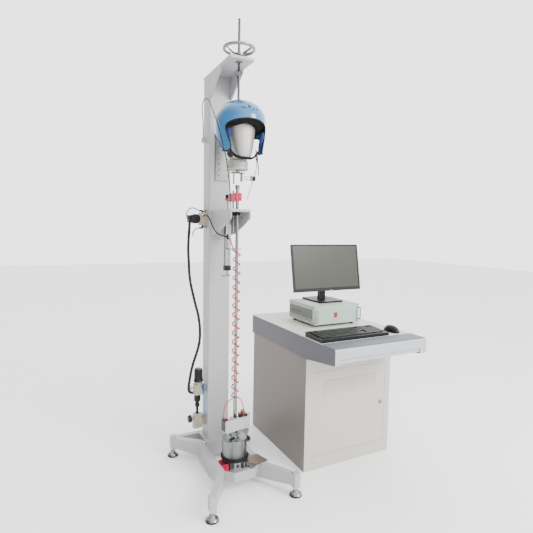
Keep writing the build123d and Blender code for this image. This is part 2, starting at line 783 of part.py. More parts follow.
def door_lock():
    face = cab_front - run_gap
    skin = 2
    barrel = pin_along_y(lock_x, face, cab_front + 20, lock_z, lock_r)
    rim = pin_along_y(lock_x, face - 4, face, lock_z, 12)
    rim = fillet(rim.edges().filter_by(GeomType.CIRCLE).sort_by(Axis.Y)[0], 1.5)
    slot = block(lock_x - 1, lock_x + 1, face - 5, face - 1, lock_z - 6, lock_z + 6)
    cam_face = cab_front + skin + run_gap + 3
    cam = block(lock_x - 7, lock_x + 7, cam_face, cam_face + 3, lock_z - 8, lock_z + 42)
    return barrel + rim + cam - slot


def desktop():
    low_front = 662
    outer = [(desk_front, low_front), (desk_front, desk_top - 10), (desk_front + 4, desk_top - 3),
             (desk_front + 12, desk_top), (desk_rear, desk_top), (desk_rear, cab_h), (cab_front, cab_h)]
    body = side_prism(outer, desk_l, desk_r)
    wall = 8
    top_t = 20
    hollow = [(desk_front + 30, low_front - 50), (desk_front + 30, desk_top - top_t - 30),
              (cab_front - 20, desk_top - top_t - 30), (cab_front - 20, low_front - 50)]
    body -= side_prism(hollow, tray_x0, tray_x1)
    body -= block(tray_x0, tray_x1, desk_front - 1, desk_front + 40, low_front - 50, tray_top)
    body -= block(desk_l + wall, desk_r - wall, cab_front + 30, desk_rear - wall, cab_h - 1, desk_top - top_t)
    long_edges = body.edges().filter_by(Axis.Y).group_by(Axis.Z)[-1]
    return fillet(long_edges, 6)


def keyboard_tray():
    gap = run_gap
    top = tray_top - gap
    front = desk_front + 4
    pan = block(tray_x0 + gap, tray_x1 - gap, front, front + tray_d, top - tray_h, top)
    pan = fillet(pan.edges().filter_by(Axis.X).sort_by(Axis.Y)[:2], 5)
    return pan - block(tray_x0 + 16, tray_x1 - 16, front + 18, front + tray_d - 10, top - tray_h + 5, top + 1)


def instrument_case():
    body = block(box_x0, box_x1, box_y0 + 6, box_y1, box_z0, box_z1)
    body = fillet(body.edges().filter_by(Axis.Y), 4)
    for x in (box_x0 - 0.5, box_x1 - 5.5):
        body -= block(x, x + 6, box_y0 + 20, box_y1 - 20, box_z0 + 20, box_z0 + 26)
    for col in range(4):
        y = box_y0 + 150 + 32 * col
        body -= pin_along_x(box_x0 - 1, box_x0 + 6, y, box_z0 + 58, 8)
        body += pin_along_x(box_x0 - 3, box_x0 + 7, y, box_z0 + 58, 6)
    for row in range(9):
        body -= block(box_x0 + 40 + 26 * row, box_x0 + 52 + 26 * row, box_y1 - 4, box_y1 + 1,
                      box_z0 + 25, box_z1 - 25)
    for x in (box_x0 + 26, box_x1 - 26):
        for y in (box_y0 + 34, box_y1 - 34):
            body += post(x, y, desk_top, box_z0 + 1, 11)
    return body


def instrument_front():
    panel = block(box_x0 + 12, box_x1 - 12, box_y0, box_y0 + 6, box_z0 + 3, box_z1 - 3)
    body = panel - block(switch_x - 11, switch_x + 11, box_y0 - 1, box_y0 + 7, switch_z - 15, switch_z + 15)
    return body


def instrument_trim():
    """Silver corner posts and front handles."""
    trim = None
    for x0 in (box_x0, box_x1 - 12):
        bar = block(x0, x0 + 12, box_y0 - 2, box_y0 + 6, box_z0, box_z1)
        bar = fillet(bar.edges().filter_by(Axis.Z).sort_by(Axis.Y)[:2], 2.5)
        mid = x0 + 6
        grip = pin_along_y(mid, box_y0 - 26, box_y0 - 2, box_z0 + 22, 4)
        grip += pin_along_y(mid, box_y0 - 26, box_y0 - 2, box_z1 - 22, 4)
        grip += post(mid, box_y0 - 24, box_z0 + 18, box_z1 - 18, 4)
        trim = bar + grip if trim is None else trim + bar + grip
    return trim


def power_switch():
    """Red rocker on a cross pin in the front panel's cut-out."""
    y = box_y0
    pts = [(y - 5, switch_z + 13.5), (y - 1, switch_z), (y - 2, switch_z - 13.5), (y + 4, switch_z - 12),
           (y + 4, switch_z + 12)]
    return side_prism(pts, switch_x - 10.7, switch_x + 10.7)


def tilted(solid):
    return Pos(mon_x, mon_y, mon_z) * Rot(-mon_tilt, 0, 0) * solid


def monitor():
    panel = block(-mon_w / 2, mon_w / 2, -mon_t, 0, -mon_h / 2, mon_h / 2)
    panel = fillet(panel.edges().filter_by(Axis.Y), 5)
    panel -= block(-mon_w / 2 + 10, mon_w / 2 - 10, -mon_t - 1, -mon_t + 1.5, -mon_h / 2 + 20, mon_h / 2 - 9)
    profile = [(0, -95), (26, -70), (26, 60), (0, 85)]
    housing = side_prism(profile, -150, 150)
    yoke = block(-34, -25, 25, 46, -20, 20) + block(25, 34, 25, 46, -20, 20)
    pin = pin_along_x(-30, 30, 40, 0, 3)
    return tilted(panel + housing + yoke + pin)


def monitor_stand():
    base_top = box_z1 + 10
    plate = block(mon_x - 85, mon_x + 85, 130, 340, box_z1, base_top)
    plate = fillet(plate.edges().filter_by(Axis.Z), 10)
    tilt_y, tilt_z = tilt_axis()
    neck = side_prism([(tilt_y - 12, base_top), (tilt_y + 14, base_top), (tilt_y + 5, tilt_z - 8),
                       (tilt_y - 5, tilt_z - 8)], mon_x - 22, mon_x + 22)
    eye = pin_along_x(mon_x - 22, mon_x + 22, tilt_y, tilt_z, 9)
    return plate + neck + eye - pin_along_x(mon_x - 30, mon_x + 30, tilt_y, tilt_z, 3 + fit_gap)


def tilt_axis():
    """Where the tilt pin lies, in y and z, with the screen leaning back."""
    lean = math.radians(mon_tilt)
    return mon_y + 40 * math.cos(lean), mon_z - 40 * math.sin(lean)


def keyboard():
    low = desk_top + run_gap
    profile = [(kb_y0, low), (kb_y1, low), (kb_y1, low + kb_h + 4), (kb_y0, low + kb_h - 6)]
    case = side_prism(profile, kb_x0, kb_x1)
    return case - block(kb_x0 + 8, kb_x1 - 8, kb_y0 + 14, kb_y1 - 14, low + 10, low + 40)


def keyboard_keys():
    """All key caps with the thin membrane plate that they stand on."""
    pitch = 19
    low = desk_top + run_gap + 10 + 3.5
    side = 8 + run_gap
    end = 14 + run_gap
    plate = block(kb_x0 + side, kb_x1 - side, kb_y0 + end, kb_y1 - end, low, low + 2)
    caps = []
    for row in range(6):
        y = kb_y0 + 28 + 20 * row
        z = low + 2 + 0.9 * row
        col = 0
        while col < 21:
            wide = 6 if row == 0 and col == 4 else 1
            if not (row == 5 and col in (1, 15, 19, 20)) and not (row in (1, 2) and col == 15):
                x = kb_x0 + 17 + pitch * col
                caps.append(Pos(x + pitch * (wide - 1) / 2 + 8, y, (z + low) / 2 + 3.4) * Box(
                    pitch * wide - 3, 16, 7 + (z - low)))
            col += wide
    keys = plate
    for cap in caps:
        keys += cap
    return keys


def mouse_form(inset):
    low = desk_top + run_gap
    half = mouse_w / 2 - inset
    body = Pos(mouse_x, mouse_y, low) * scale(Sphere(1), by=(half, mouse_l / 2 - inset, mouse_h - inset))
    return body & block(mouse_x - 80, mouse_x + 80, mouse_y - 80, mouse_y + 80, low, low + 60)


def mouse_top(side, grow):
    half = 1.5 - grow
    x0, x1 = (mouse_x + half, mouse_x + 60) if side > 0 else (mouse_x - 60, mouse_x - half)
    return block(x0, x1, button_rear - grow, mouse_y + 80, desk_top + 14 - 2 * grow, desk_top + 60)


def mouse_body():
    body = mouse_form(0)
    for side in (-1, 1):
        body -= mouse_top(side, button_gap) - mouse_form(button_t + button_room)
    body -= block(mouse_x - 2, mouse_x + 2, button_rear - 0.5, mouse_y + 80, desk_top + 22, desk_top + 60)
    return body - pin_along_x(mouse_x - 4, mouse_x + 4, mouse_y + 26, desk_top + 26, 9.5)


def mouse_button(side):
    shell = mouse_form(0) - mouse_form(button_t)
    cap = shell & mouse_top(side, 0)
    return cap - pin_along_x(mouse_x - 4.2, mouse_x + 4.2, mouse_y + 26, desk_top + 26, 10)


def mouse_wheel():
    wheel = pin_along_x(mouse_x - 3.6, mouse_x + 3.6, mouse_y + 26, desk_top + 26, 9)
    return fillet(wheel.edges().filter_by(GeomType.CIRCLE), 1.2)


def save(solid, name):
    moved = Pos(axis_x, axis_y, 0) * solid
    export_step(moved, os.path.join("parts", name + ".step"))


def main():
    os.makedirs("parts", exist_ok=True)
    save(base_frame(), "base_frame")
    for name, spot, side in (("front_left", front_foot, -1), ("front_right", front_foot, 1),
                             ("rear_left", rear_foot, -1), ("rear_right", rear_foot, 1)):
        save(foot(side * spot[0], spot[1]), "foot_" + name)
    save(column(), "column")
    save(top_arm(), "top_arm")
    save(adjustment_plate(), "adjustment_plate")
    save(guide_bracket(), "guide_bracket")
    save(guide_bushes(), "guide_bushes")
    save(sensor_body(), "sensor_body")
    save(Compound([sensor_cap(), hose_clip()]), "sensor_cap")
    save(hand_wheel(), "hand_wheel")
    save(lift_spindle(), "lift_spindle")
    save(hanger(), "hanger")
    save(headform(), "headform")
    save(helmet_shell(), "helmet_shell")
    save(helmet_liner(), "helmet_liner")
    save(chin_strap(), "chin_strap")
    save(stirrup(), "stirrup")
    save(stirrup_knob(), "stirrup_knob")
    save(guide_rod(), "guide_rod")
    save(upper_clamp(), "upper_clamp")
    save(tie_rods(), "tie_rods")
    save(clamp_knob(), "clamp_knob")
    save(end_stop(), "end_stop")
    save(stop_clamp(), "stop_clamp")
    save(stop_plate(), "stop_plate")
    save(drop_weight(), "drop_weight")
    save(weight_ring(), "weight_ring")
    save(carriage(), "carriage")
    save(gripper_cylinders(), "gripper_cylinders")
    save(jaw(-1), "jaw_left")
    save(jaw(1), "jaw_right")
    save(carriage_hoses(), "carriage_hoses")
    save(coil_hose(), "coil_hose")
    save(air_valve(), "air_valve")
    save(valve_coil(), "valve_coil")
    save(service_unit(), "service_unit")
    save(regulator_knob(), "regulator_knob")
    save(supply_knob(), "supply_knob")
    save(hose(cable_bundle_route, 15, "cable bundle"), "cable_bundle")
    lines = [hose(upper_line_route, 6, "upper air line"), hose(lower_line_route, 6, "lower air line"),
             hose(side_line_route, 6, "side air line")]
    save(Compound(lines), "air_lines")
    save(Compound([hose(feed_route, 6.5, "feed hose"), hose(coil_lead_route, 6.5, "coil lead")]), "feed_hose")
    save(hose(loop_route, 5, "sensor cable"), "sensor_cable")
    save(hose(strap_cord_route, 3, "strap cord"), "strap_cord")
    save(cabinet(), "cabinet")
    save(cabinet_door(), "cabinet_door")
    save(door_lock(), "door_lock")
    save(desktop(), "desktop")
    save(keyboard_tray(), "keyboard_tray")
    save(instrument_case() + instrument_front() + instrument_trim(), "instrument_case")
    save(power_switch(), "power_switch")
    save(monitor(), "monitor")
    save(monitor_stand(), "monitor_stand")
    save(keyboard(), "keyboard")
    save(keyboard_keys(), "keyboard_keys")
    save(mouse_body(), "mouse_body")
    save(Compound([mouse_button(-1), mouse_button(1)]), "mouse_buttons")
    save(mouse_wheel(), "mouse_wheel")


main()
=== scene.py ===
import math

import bmesh
import bpy
from mathutils import Matrix, Vector


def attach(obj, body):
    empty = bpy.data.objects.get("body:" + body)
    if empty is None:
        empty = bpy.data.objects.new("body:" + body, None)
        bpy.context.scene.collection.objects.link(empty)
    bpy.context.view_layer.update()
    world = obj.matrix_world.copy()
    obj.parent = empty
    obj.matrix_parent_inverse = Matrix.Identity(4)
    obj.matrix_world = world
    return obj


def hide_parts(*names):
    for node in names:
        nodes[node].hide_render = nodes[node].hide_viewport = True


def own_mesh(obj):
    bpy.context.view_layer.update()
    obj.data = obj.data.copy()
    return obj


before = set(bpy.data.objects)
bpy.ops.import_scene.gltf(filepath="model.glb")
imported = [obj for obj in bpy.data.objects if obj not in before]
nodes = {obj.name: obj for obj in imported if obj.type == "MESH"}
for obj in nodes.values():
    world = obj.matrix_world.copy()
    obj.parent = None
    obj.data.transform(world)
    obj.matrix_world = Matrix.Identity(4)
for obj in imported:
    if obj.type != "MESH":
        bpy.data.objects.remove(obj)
scene = bpy.context.scene
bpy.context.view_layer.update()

# The drop axis of the stand in the row frame. Every place below is written from it, in metres.
dropAxis = Vector((-0.3425, -0.083, 0))


def spot(x, y, z):
    return Vector((x, y, z)) + dropAxis


# Camera, from the photograph
camera = {"place": (-0.85, -1.984, 1.3), "yaw": 27.18, "pitch": -4.87, "roll": 1.0, "focal": 430.2,
          "picture": 533, "sensor": 36}
yaw = math.radians(camera["yaw"])
pitch = math.radians(camera["pitch"])
roll = math.radians(camera["roll"])
ahead = Vector((math.sin(yaw) * math.cos(pitch), math.cos(yaw) * math.cos(pitch), math.sin(pitch)))
level = Vector((math.cos(yaw), -math.sin(yaw), 0))
upward = level.cross(ahead)
across = level * math.cos(roll) + upward * math.sin(roll)
above = upward * math.cos(roll) - level * math.sin(roll)
cameraData = bpy.data.cameras.new("camera")
cameraData.sensor_width = camera["sensor"]
cameraData.lens = camera["focal"] / camera["picture"] * camera["sensor"]
cameraData.clip_end = 60
cameraObject = bpy.data.objects.new("camera", cameraData)
scene.collection.objects.link(cameraObject)
turn = Matrix((across, above, -ahead)).transposed().to_4x4()
cameraObject.matrix_world = Matrix.Translation(spot(*camera["place"])) @ turn
scene.camera = cameraObject
print("camera set")


# Materials
def material(name, colour, metallic=0.0, roughness=0.5, mottle=0.05, grain=40, bump=0.05, fine=350,
             stretch=(1, 1, 1), spread=0.06, second=None, **sockets):
    made = bpy.data.materials.new(name)
    made.use_nodes = True
    tree = made.node_tree
    shader = tree.nodes["Principled BSDF"]
    shader.inputs["Metallic"].default_value = metallic
    shader.inputs["Roughness"].default_value = roughness
    for socket, value in sockets.items():
        shader.inputs[socket.replace("_", " ")].default_value = value
    coord = tree.nodes.new("ShaderNodeTexCoord")
    mapping = tree.nodes.new("ShaderNodeMapping")
    mapping.inputs["Scale"].default_value = stretch
    tree.links.new(coord.outputs["Object"], mapping.inputs["Vector"])
    cloud = tree.nodes.new("ShaderNodeTexNoise")
    cloud.inputs["Scale"].default_value = grain
    cloud.inputs["Detail"].default_value = 5
    tree.links.new(mapping.outputs["Vector"], cloud.inputs["Vector"])
    tone = tree.nodes.new("ShaderNodeMix")
    tone.data_type = "RGBA"
    tone.inputs[6].default_value = (*[c * (1 - mottle) for c in colour], 1)
    tone.inputs[7].default_value = (*[min(1, c * (1 + mottle)) for c in colour], 1)
    tree.links.new(cloud.outputs["Fac"], tone.inputs["Factor"])
    outcome = tone.outputs[2]
    if second:
        other, axis, limit = second
        parts = tree.nodes.new("ShaderNodeSeparateXYZ")
        tree.links.new(coord.outputs["Object"], parts.inputs["Vector"])
        past = tree.nodes.new("ShaderNodeMath")
        past.operation = "GREATER_THAN"
        past.inputs[1].default_value = limit
        tree.links.new(parts.outputs[axis], past.inputs[0])
        swap = tree.nodes.new("ShaderNodeMix")
        swap.data_type = "RGBA"
        swap.inputs[7].default_value = (*other, 1)
        tree.links.new(past.outputs["Value"], swap.inputs["Factor"])
        tree.links.new(outcome, swap.inputs[6])
        outcome = swap.outputs[2]
    tree.links.new(outcome, shader.inputs["Base Color"])
    if spread:
        share = tree.nodes.new("ShaderNodeMapRange")
        share.inputs["To Min"].default_value = max(0.02, roughness - spread)
        share.inputs["To Max"].default_value = min(1, roughness + spread)
        tree.links.new(cloud.outputs["Fac"], share.inputs["Value"])
        tree.links.new(share.outputs["Result"], shader.inputs["Roughness"])
    if bump:
        specks = tree.nodes.new("ShaderNodeTexNoise")
        specks.inputs["Scale"].default_value = fine
        tree.links.new(mapping.outputs["Vector"], specks.inputs["Vector"])
        relief = tree.nodes.new("ShaderNodeBump")
        relief.inputs["Strength"].default_value = bump
        relief.inputs["Distance"].default_value = 0.001
        tree.links.new(specks.outputs["Fac"], relief.inputs["Height"])
        tree.links.new(relief.outputs["Normal"], shader.inputs["Normal"])
    return made


whitePaint = material("whitePaint", (0.36, 0.355, 0.365), roughness=0.40, mottle=0.02, bump=0.06, fine=420)
chrome = material("chrome", (0.24, 0.235, 0.245), metallic=1, roughness=0.15, mottle=0.03, bump=0.02)
steel = material("steel", (0.17, 0.18, 0.165), metallic=1, roughness=0.34, mottle=0.08, stretch=(1, 1, 9))
turnedSteel = material("turnedSteel", (0.20, 0.21, 0.21), metallic=1, roughness=0.30, mottle=0.06,
                       grain=30, stretch=(1, 1, 14), bump=0.1)
polished = material("polished", (0.34, 0.34, 0.345), metallic=1, roughness=0.2, mottle=0.07, grain=18)
satinCast = material("satinCast", (0.36, 0.345, 0.325), metallic=0.55, roughness=0.48, mottle=0.06, grain=22,
                     bump=0.12, fine=260)
brownSteel = material("brownSteel", (0.17, 0.13, 0.10), metallic=0.8, roughness=0.4, mottle=0.14, grain=25)
blackRubber = material("blackRubber", (0.006, 0.006, 0.0065), roughness=0.6, mottle=0.2, bump=0.2,
                       Specular_IOR_Level=0.25)
blackPlastic = material("blackPlastic", (0.005, 0.005, 0.006), roughness=0.4, mottle=0.15, bump=0.1,
                        Specular_IOR_Level=0.25)
darkMetal = material("darkMetal", (0.035, 0.035, 0.037), metallic=0.7, roughness=0.38, mottle=0.12)
redMetal = material("redMetal", (0.42, 0.008, 0.035), metallic=0.55, roughness=0.3, mottle=0.08)
copper = material("copper", (0.30, 0.13, 0.07), metallic=1, roughness=0.3, mottle=0.1)
creamCast = material("creamCast", (0.36, 0.32, 0.24), metallic=0.3, roughness=0.42, mottle=0.08)
gaugeGray = material("gaugeGray", (0.38, 0.39, 0.40), metallic=0.4, roughness=0.4)
blueHose = material("blueHose", (0.008, 0.05, 0.26), roughness=0.3, mottle=0.06)
paleHose = material("paleHose", (0.05, 0.22, 0.42), roughness=0.3, mottle=0.06)
redHose = material("redHose", (0.46, 0.012, 0.006), roughness=0.28, mottle=0.05)
blackHose = material("blackHose", (0.004, 0.004, 0.0045), roughness=0.42, mottle=0.2, bump=0.15,
                     Specular_IOR_Level=0.3)
helmetBlue = material("helmetBlue", (0.022, 0.135, 0.31), roughness=0.18, mottle=0.04, Coat_Weight=0.5)
padBlue = material("padBlue", (0.006, 0.018, 0.12), roughness=0.85, mottle=0.15, grain=200, bump=0.5,
                   fine=1400)
webbing = material("webbing", (0.006, 0.006, 0.007), roughness=0.8, mottle=0.2, grain=250, bump=0.6,
                   fine=1500, Specular_IOR_Level=0.2)
# Darker copy of the cabinet's front paint: painted shade on the sides, top and back, which the front-right light
# leaves darker
cabinetPaintedShade = material("cabinetPaintedShade", (0.17, 0.145, 0.13), roughness=0.5, mottle=0.03)
cabinetFront = material("cabinetFront", (0.47, 0.445, 0.40), roughness=0.46, mottle=0.02)
deskTop = material("deskTop", (0.10, 0.11, 0.13), roughness=0.48, mottle=0.04,
                   second=((0.52, 0.51, 0.47), 1, -0.345))
deskBand = material("deskBand", (0.40, 0.41, 0.44), roughness=0.4, mottle=0.03)
# Darker copy of the front band's blue-grey: painted shade on the sides, back and underside of the desktop and
# keyboard tray
deskEdgePaintedShade = material("deskEdgePaintedShade", (0.085, 0.085, 0.10), roughness=0.5, mottle=0.04)
caseGreen = material("caseGreen", (0.37, 0.47, 0.40), roughness=0.42, mottle=0.03)
caseSide = material("caseSide", (0.40, 0.39, 0.365), roughness=0.5, mottle=0.05, bump=0.2)
darkChrome = material("darkChrome", (0.10, 0.085, 0.085), metallic=1, roughness=0.22, mottle=0.1)
panelGreen = material("panelGreen", (0.11, 0.14, 0.12), roughness=0.5, mottle=0.06, bump=0.2)
silver = material("silver", (0.42, 0.43, 0.44), metallic=1, roughness=0.28, mottle=0.05)
signalRed = material("signalRed", (0.42, 0.004, 0.004), roughness=0.25, mottle=0.05)
screenGlass = material("screenGlass", (0.042, 0.042, 0.033), roughness=0.34, mottle=0.05, grain=3,
                       bump=0.0, Specular_IOR_Level=0.3)
keyBlack = material("keyBlack", (0.006, 0.006, 0.007), roughness=0.4, mottle=0.15, Specular_IOR_Level=0.3)
# Lighter grey-green between the black keys: painted reflection standing in for the glints between them
keyGapReflection = material("keyGapReflection", (0.20, 0.22, 0.20), roughness=0.4, mottle=0.08)
foamDark = material("foamDark", (0.008, 0.006, 0.0055), roughness=0.9, mottle=0.2, grain=220, bump=0.4,
                    fine=900, Specular_IOR_Level=0.15)


def dress(node, base, *zones):
    piece = nodes[node]
    piece.data.materials.clear()
    piece.data.materials.append(base)
    for number, (other, holds) in enumerate(zones, 1):
        piece.data.materials.append(other)
        for face in piece.data.polygons:
            if holds(face.center - dropAxis, face.normal):
                face.material_index = number


def within(x0=-9, x1=9, y0=-9, y1=9, z0=-9, z1=9):
    return lambda p, n: x0 <= p.x <= x1 and y0 <= p.y <= y1 and z0 <= p.z <= z1


for node in ("base_frame", "column", "top_arm", "guide_bracket"):
    dress(node, whitePaint)
for node in ("lift_spindle", "hanger"):
    dress(node, darkChrome)
for node in ("guide_rod", "hand_wheel", "tie_rods", "door_lock"):
    dress(node, chrome)
dress("sensor_cap", blackPlastic, (polished, within(z0=1.12)), (blackPlastic, within(x1=-0.0185, z0=1.24)),
      (chrome, within(z1=1.082)))
for node in ("guide_bushes", "stirrup_knob", "clamp_knob", "valve_coil", "regulator_knob",
             "supply_knob", "monitor_stand", "mouse_body", "mouse_buttons", "keyboard"):
    dress(node, blackPlastic)
for node in ("foot_front_left", "foot_front_right", "foot_rear_left", "foot_rear_right"):
    dress(node, chrome, (blackRubber, within(z1=0.009)))
dress("adjustment_plate", steel)
dress("stirrup", darkMetal, (silver, within(x1=-0.012, z1=1.574)), (brownSteel, within(0.012, 0.03, z1=1.574)),
      (chrome, within(x0=0.03)))
dress("upper_clamp", redMetal)
dress("sensor_body", polished)
dress("end_stop", chrome)
dress("stop_clamp", redMetal)
dress("stop_plate", brownSteel)
dress("drop_weight", turnedSteel)
dress("weight_ring", blackRubber)
dress("carriage", whitePaint, (chrome, within(z0=0.34)))
dress("gripper_cylinders", darkMetal, (copper, within(z0=0.334)))
for node in ("jaw_left", "jaw_right"):
    dress(node, steel)
dress("air_valve", creamCast, (blackPlastic, within(z0=1.389)), (blackPlastic, within(z1=1.317)))
dress("service_unit", creamCast, (blackPlastic, within(z0=0.26, z1=0.371)),
      (gaugeGray, within(x1=-0.13, z0=0.395, z1=0.43)), (blueHose, within(x0=-0.096, y1=0.268, z0=0.38)))
# Every cabinet face except the front gets the darker copy, as painted shade
dress("cabinet", cabinetPaintedShade, (cabinetFront, lambda p, n: n.y < -0.5))
# Desktop and tray: every face except the top and the front band gets the darker copy, as painted shade
dress("desktop", deskEdgePaintedShade, (deskTop, lambda p, n: p.z > 0.74 and n.z > 0.5),
      (deskBand, lambda p, n: n.y < -0.35 and p.y < -0.36 and p.z < 0.738))
dress("keyboard_tray", deskEdgePaintedShade, (deskBand, lambda p, n: n.y < -0.35 and p.y < -0.36))
dress("instrument_case", caseSide, (caseGreen, lambda p, n: 0.05 < p.y < 0.0585 and 0.523 < p.x < 0.816),
      (silver, within(y1=0.059, x1=0.5235)), (silver, within(y1=0.059, x0=0.8155)),
      (blackRubber, within(z1=0.7549)), (blackPlastic, within(x1=0.5105, y0=0.15, z0=0.80, z1=0.83)))
dress("power_switch", signalRed)
glass = {"lean": math.radians(10), "hingeY": 0.205, "hingeZ": 1.073, "near": -0.0131, "far": -0.0119}


def onScreen(p, n):
    depth = (p.y - glass["hingeY"]) * math.cos(glass["lean"]) - (p.z - glass["hingeZ"]) * math.sin(glass["lean"])
    return n.y < -0.9 and glass["near"] < depth < glass["far"]


dress("monitor", blackPlastic, (screenGlass, onScreen))
# The low upward faces between the keys get the lighter grey-green, as painted reflection
dress("keyboard_keys", keyBlack, (keyGapReflection, lambda p, n: n.z > 0.9 and p.z < 0.7595))
dress("mouse_wheel", gaugeGray)
print("frame dressed")


# Cords. The points repeat the routes that the CAD's tubes follow.
def addObject(name, data, body):
    made = bpy.data.objects.new(name, data)
    scene.collection.objects.link(made)
    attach(made, body)
    return made


def routeCurve(name, route, resolution):
    data = bpy.data.curves.new(name, "CURVE")
    data.dimensions = "3D"
    data.resolution_u = resolution
    line = data.splines.new("NURBS")
    line.points.add(len(route) - 1)
    for control, point in zip(line.points, route):
        control.co = (*spot(*point), 1)
    line.order_u = 3
    line.use_endpoint_u = True
    return data


def hoseCurve(name, route, diameter, surface, body):
    data = routeCurve(name, route, 10)
    data.bevel_depth = diameter / 2
    data.bevel_resolution = 4
    data.use_fill_caps = True
    data.materials.append(surface)
    return addObject(name, data, body)


def onCarriage(route):
    lean = Matrix.Rotation(math.radians(8), 3, "Z")
    return [tuple(lean @ Vector(point)) for point in route]


bundleRoute = [(-0.158, 0.281, 1.334), (-0.159, 0.281, 1.300), (-0.164, 0.280, 1.240), (-0.166, 0.280, 1.180),
               (-0.162, 0.280, 1.120), (-0.160, 0.280, 1.060), (-0.152, 0.280, 1.000), (-0.138, 0.281, 0.942),
               (-0.124, 0.281, 0.884), (-0.108, 0.281, 0.828), (-0.099, 0.281, 0.772), (-0.096, 0.281, 0.716),
               (-0.101, 0.279, 0.660), (-0.118, 0.277, 0.606), (-0.140, 0.272, 0.552), (-0.154, 0.268, 0.500),
               (-0.161, 0.268, 0.454), (-0.165, 0.272, 0.424), (-0.161, 0.280, 0.400), (-0.152, 0.285, 0.386),
               (-0.137, 0.285, 0.382)]
upperLineRoute = [(-0.168, 0.281, 1.350), (-0.176, 0.281, 1.362), (-0.172, 0.281, 1.392),
                  (-0.152, 0.281, 1.412), (-0.128, 0.281, 1.410), (-0.104, 0.281, 1.398)]
lowerLineRoute = [(-0.104, 0.281, 1.304), (-0.118, 0.281, 1.302), (-0.136, 0.281, 1.288),
                  (-0.142, 0.281, 1.262)]
sideLineRoute = [(-0.078, 0.261, 0.420), (-0.076, 0.256, 0.408), (-0.075, 0.254, 0.380),
                 (-0.077, 0.253, 0.340), (-0.076, 0.253, 0.300), (-0.077, 0.254, 0.262),
                 (-0.080, 0.262, 0.240), (-0.083, 0.272, 0.232)]
feedRoute = [(-0.086, 0.262, 1.366), (-0.082, 0.250, 1.376), (-0.076, 0.228, 1.372), (-0.070, 0.204, 1.350),
             (-0.066, 0.182, 1.322), (-0.062, 0.158, 1.296), (-0.056, 0.132, 1.276), (-0.050, 0.104, 1.270),
             (-0.042, 0.080, 1.266), (-0.031, 0.062, 1.260)]
coilLeadRoute = [(-0.020, 0.058, 1.256), (-0.014, 0.050, 1.250), (-0.016, 0.038, 1.236),
                 (-0.018, 0.024, 1.222), (-0.017, 0.008, 1.206)]
sensorCableRoute = [(-0.076, 0.300, 1.790), (-0.077, 0.300, 1.830), (-0.078, 0.299, 1.880),
                    (-0.084, 0.299, 1.930), (-0.086, 0.294, 1.968), (-0.080, 0.272, 1.990),
                    (-0.077, 0.240, 1.985), (-0.079, 0.205, 1.964), (-0.085, 0.165, 1.938),
                    (-0.098, 0.110, 1.905), (-0.111, 0.055, 1.876), (-0.126, 0.000, 1.843),
                    (-0.129, -0.042, 1.808), (-0.131, -0.080, 1.765), (-0.130, -0.105, 1.722),
                    (-0.124, -0.119, 1.677), (-0.106, -0.112, 1.627), (-0.088, -0.092, 1.572),
                    (-0.073, -0.072, 1.520), (-0.060, -0.054, 1.470), (-0.052, -0.042, 1.428),
                    (-0.050, -0.040, 1.398)]
strapCordRoute = [(0.060, -0.075, 1.654), (0.064, -0.073, 1.640), (0.072, -0.066, 1.622),
                  (0.075, -0.057, 1.602), (0.072, -0.048, 1.574), (0.066, -0.040, 1.542),
                  (0.058, -0.032, 1.510), (0.050, -0.025, 1.478), (0.045, -0.020, 1.450)]
leftGripRoute = onCarriage([(-0.016, 0, 0.434), (-0.032, 0.004, 0.428), (-0.052, 0.006, 0.408),
                            (-0.064, 0.005, 0.378), (-0.068, 0.004, 0.346)])
rightGripRoute = onCarriage([(0.014, 0.008, 0.434), (0.028, 0.010, 0.428), (0.044, 0.009, 0.406),
                             (0.054, 0.007, 0.382), (0.056, 0.006, 0.358)])

bundle = hoseCurve("cableBundle", bundleRoute, 0.015, blackHose, "root")
upperLine = hoseCurve("upperAirLine", upperLineRoute, 0.006, blueHose, "root")
lowerLine = hoseCurve("lowerAirLine", lowerLineRoute, 0.006, blueHose, "root")
sideLine = hoseCurve("sideAirLine", sideLineRoute, 0.006, paleHose, "root")
feed = hoseCurve("feedHose", feedRoute, 0.0065, blackHose, "root")
coilLead = hoseCurve("coilLead", coilLeadRoute, 0.0065, redHose, "root")
sensorCable = hoseCurve("sensorCable", sensorCableRoute, 0.005, blackHose, "root")
strapCord = hoseCurve("strapCord", strapCordRoute, 0.003, blackHose, "head")
leftGrip = hoseCurve("leftGripHose", leftGripRoute, 0.005, redHose, "gripper")
rightGrip = hoseCurve("rightGripHose", rightGripRoute, 0.005, redHose, "gripper")
cordFacts = [(bundle, bundleRoute, 0.984, 0.015, "medium", "loose", "cable_bundle", "hose_black"),
             (upperLine, upperLineRoute, 0.121, 0.006, "medium", "loose", "air_lines", "hose_blue"),
             (lowerLine, lowerLineRoute, 0.063, 0.006, "medium", "loose", "air_lines", "hose_blue"),
             (sideLine, sideLineRoute, 0.195, 0.006, "medium", "loose", "air_lines", "hose_blue"),
             (feed, feedRoute, 0.252, 0.0065, "medium", "loose", "feed_hose", "hose_black"),
             (coilLead, coilLeadRoute, 0.072, 0.0065, "medium", "loose", "feed_hose", "hose_red"),
             (sensorCable, sensorCableRoute, 1.032, 0.005, "medium", "loose", "sensor_cable", "hose_black"),
             (leftGrip, leftGripRoute, 0.110, 0.005, "medium", "loose", "carriage_hoses", "hose_red"),
             (rightGrip, rightGripRoute, 0.092, 0.005, "medium", "loose", "carriage_hoses", "hose_red")]
for piece, route, length, diameter, stiffness, lay, node, slot in cordFacts:
    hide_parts(node)
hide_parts("strap_cord")
print("cords laid")

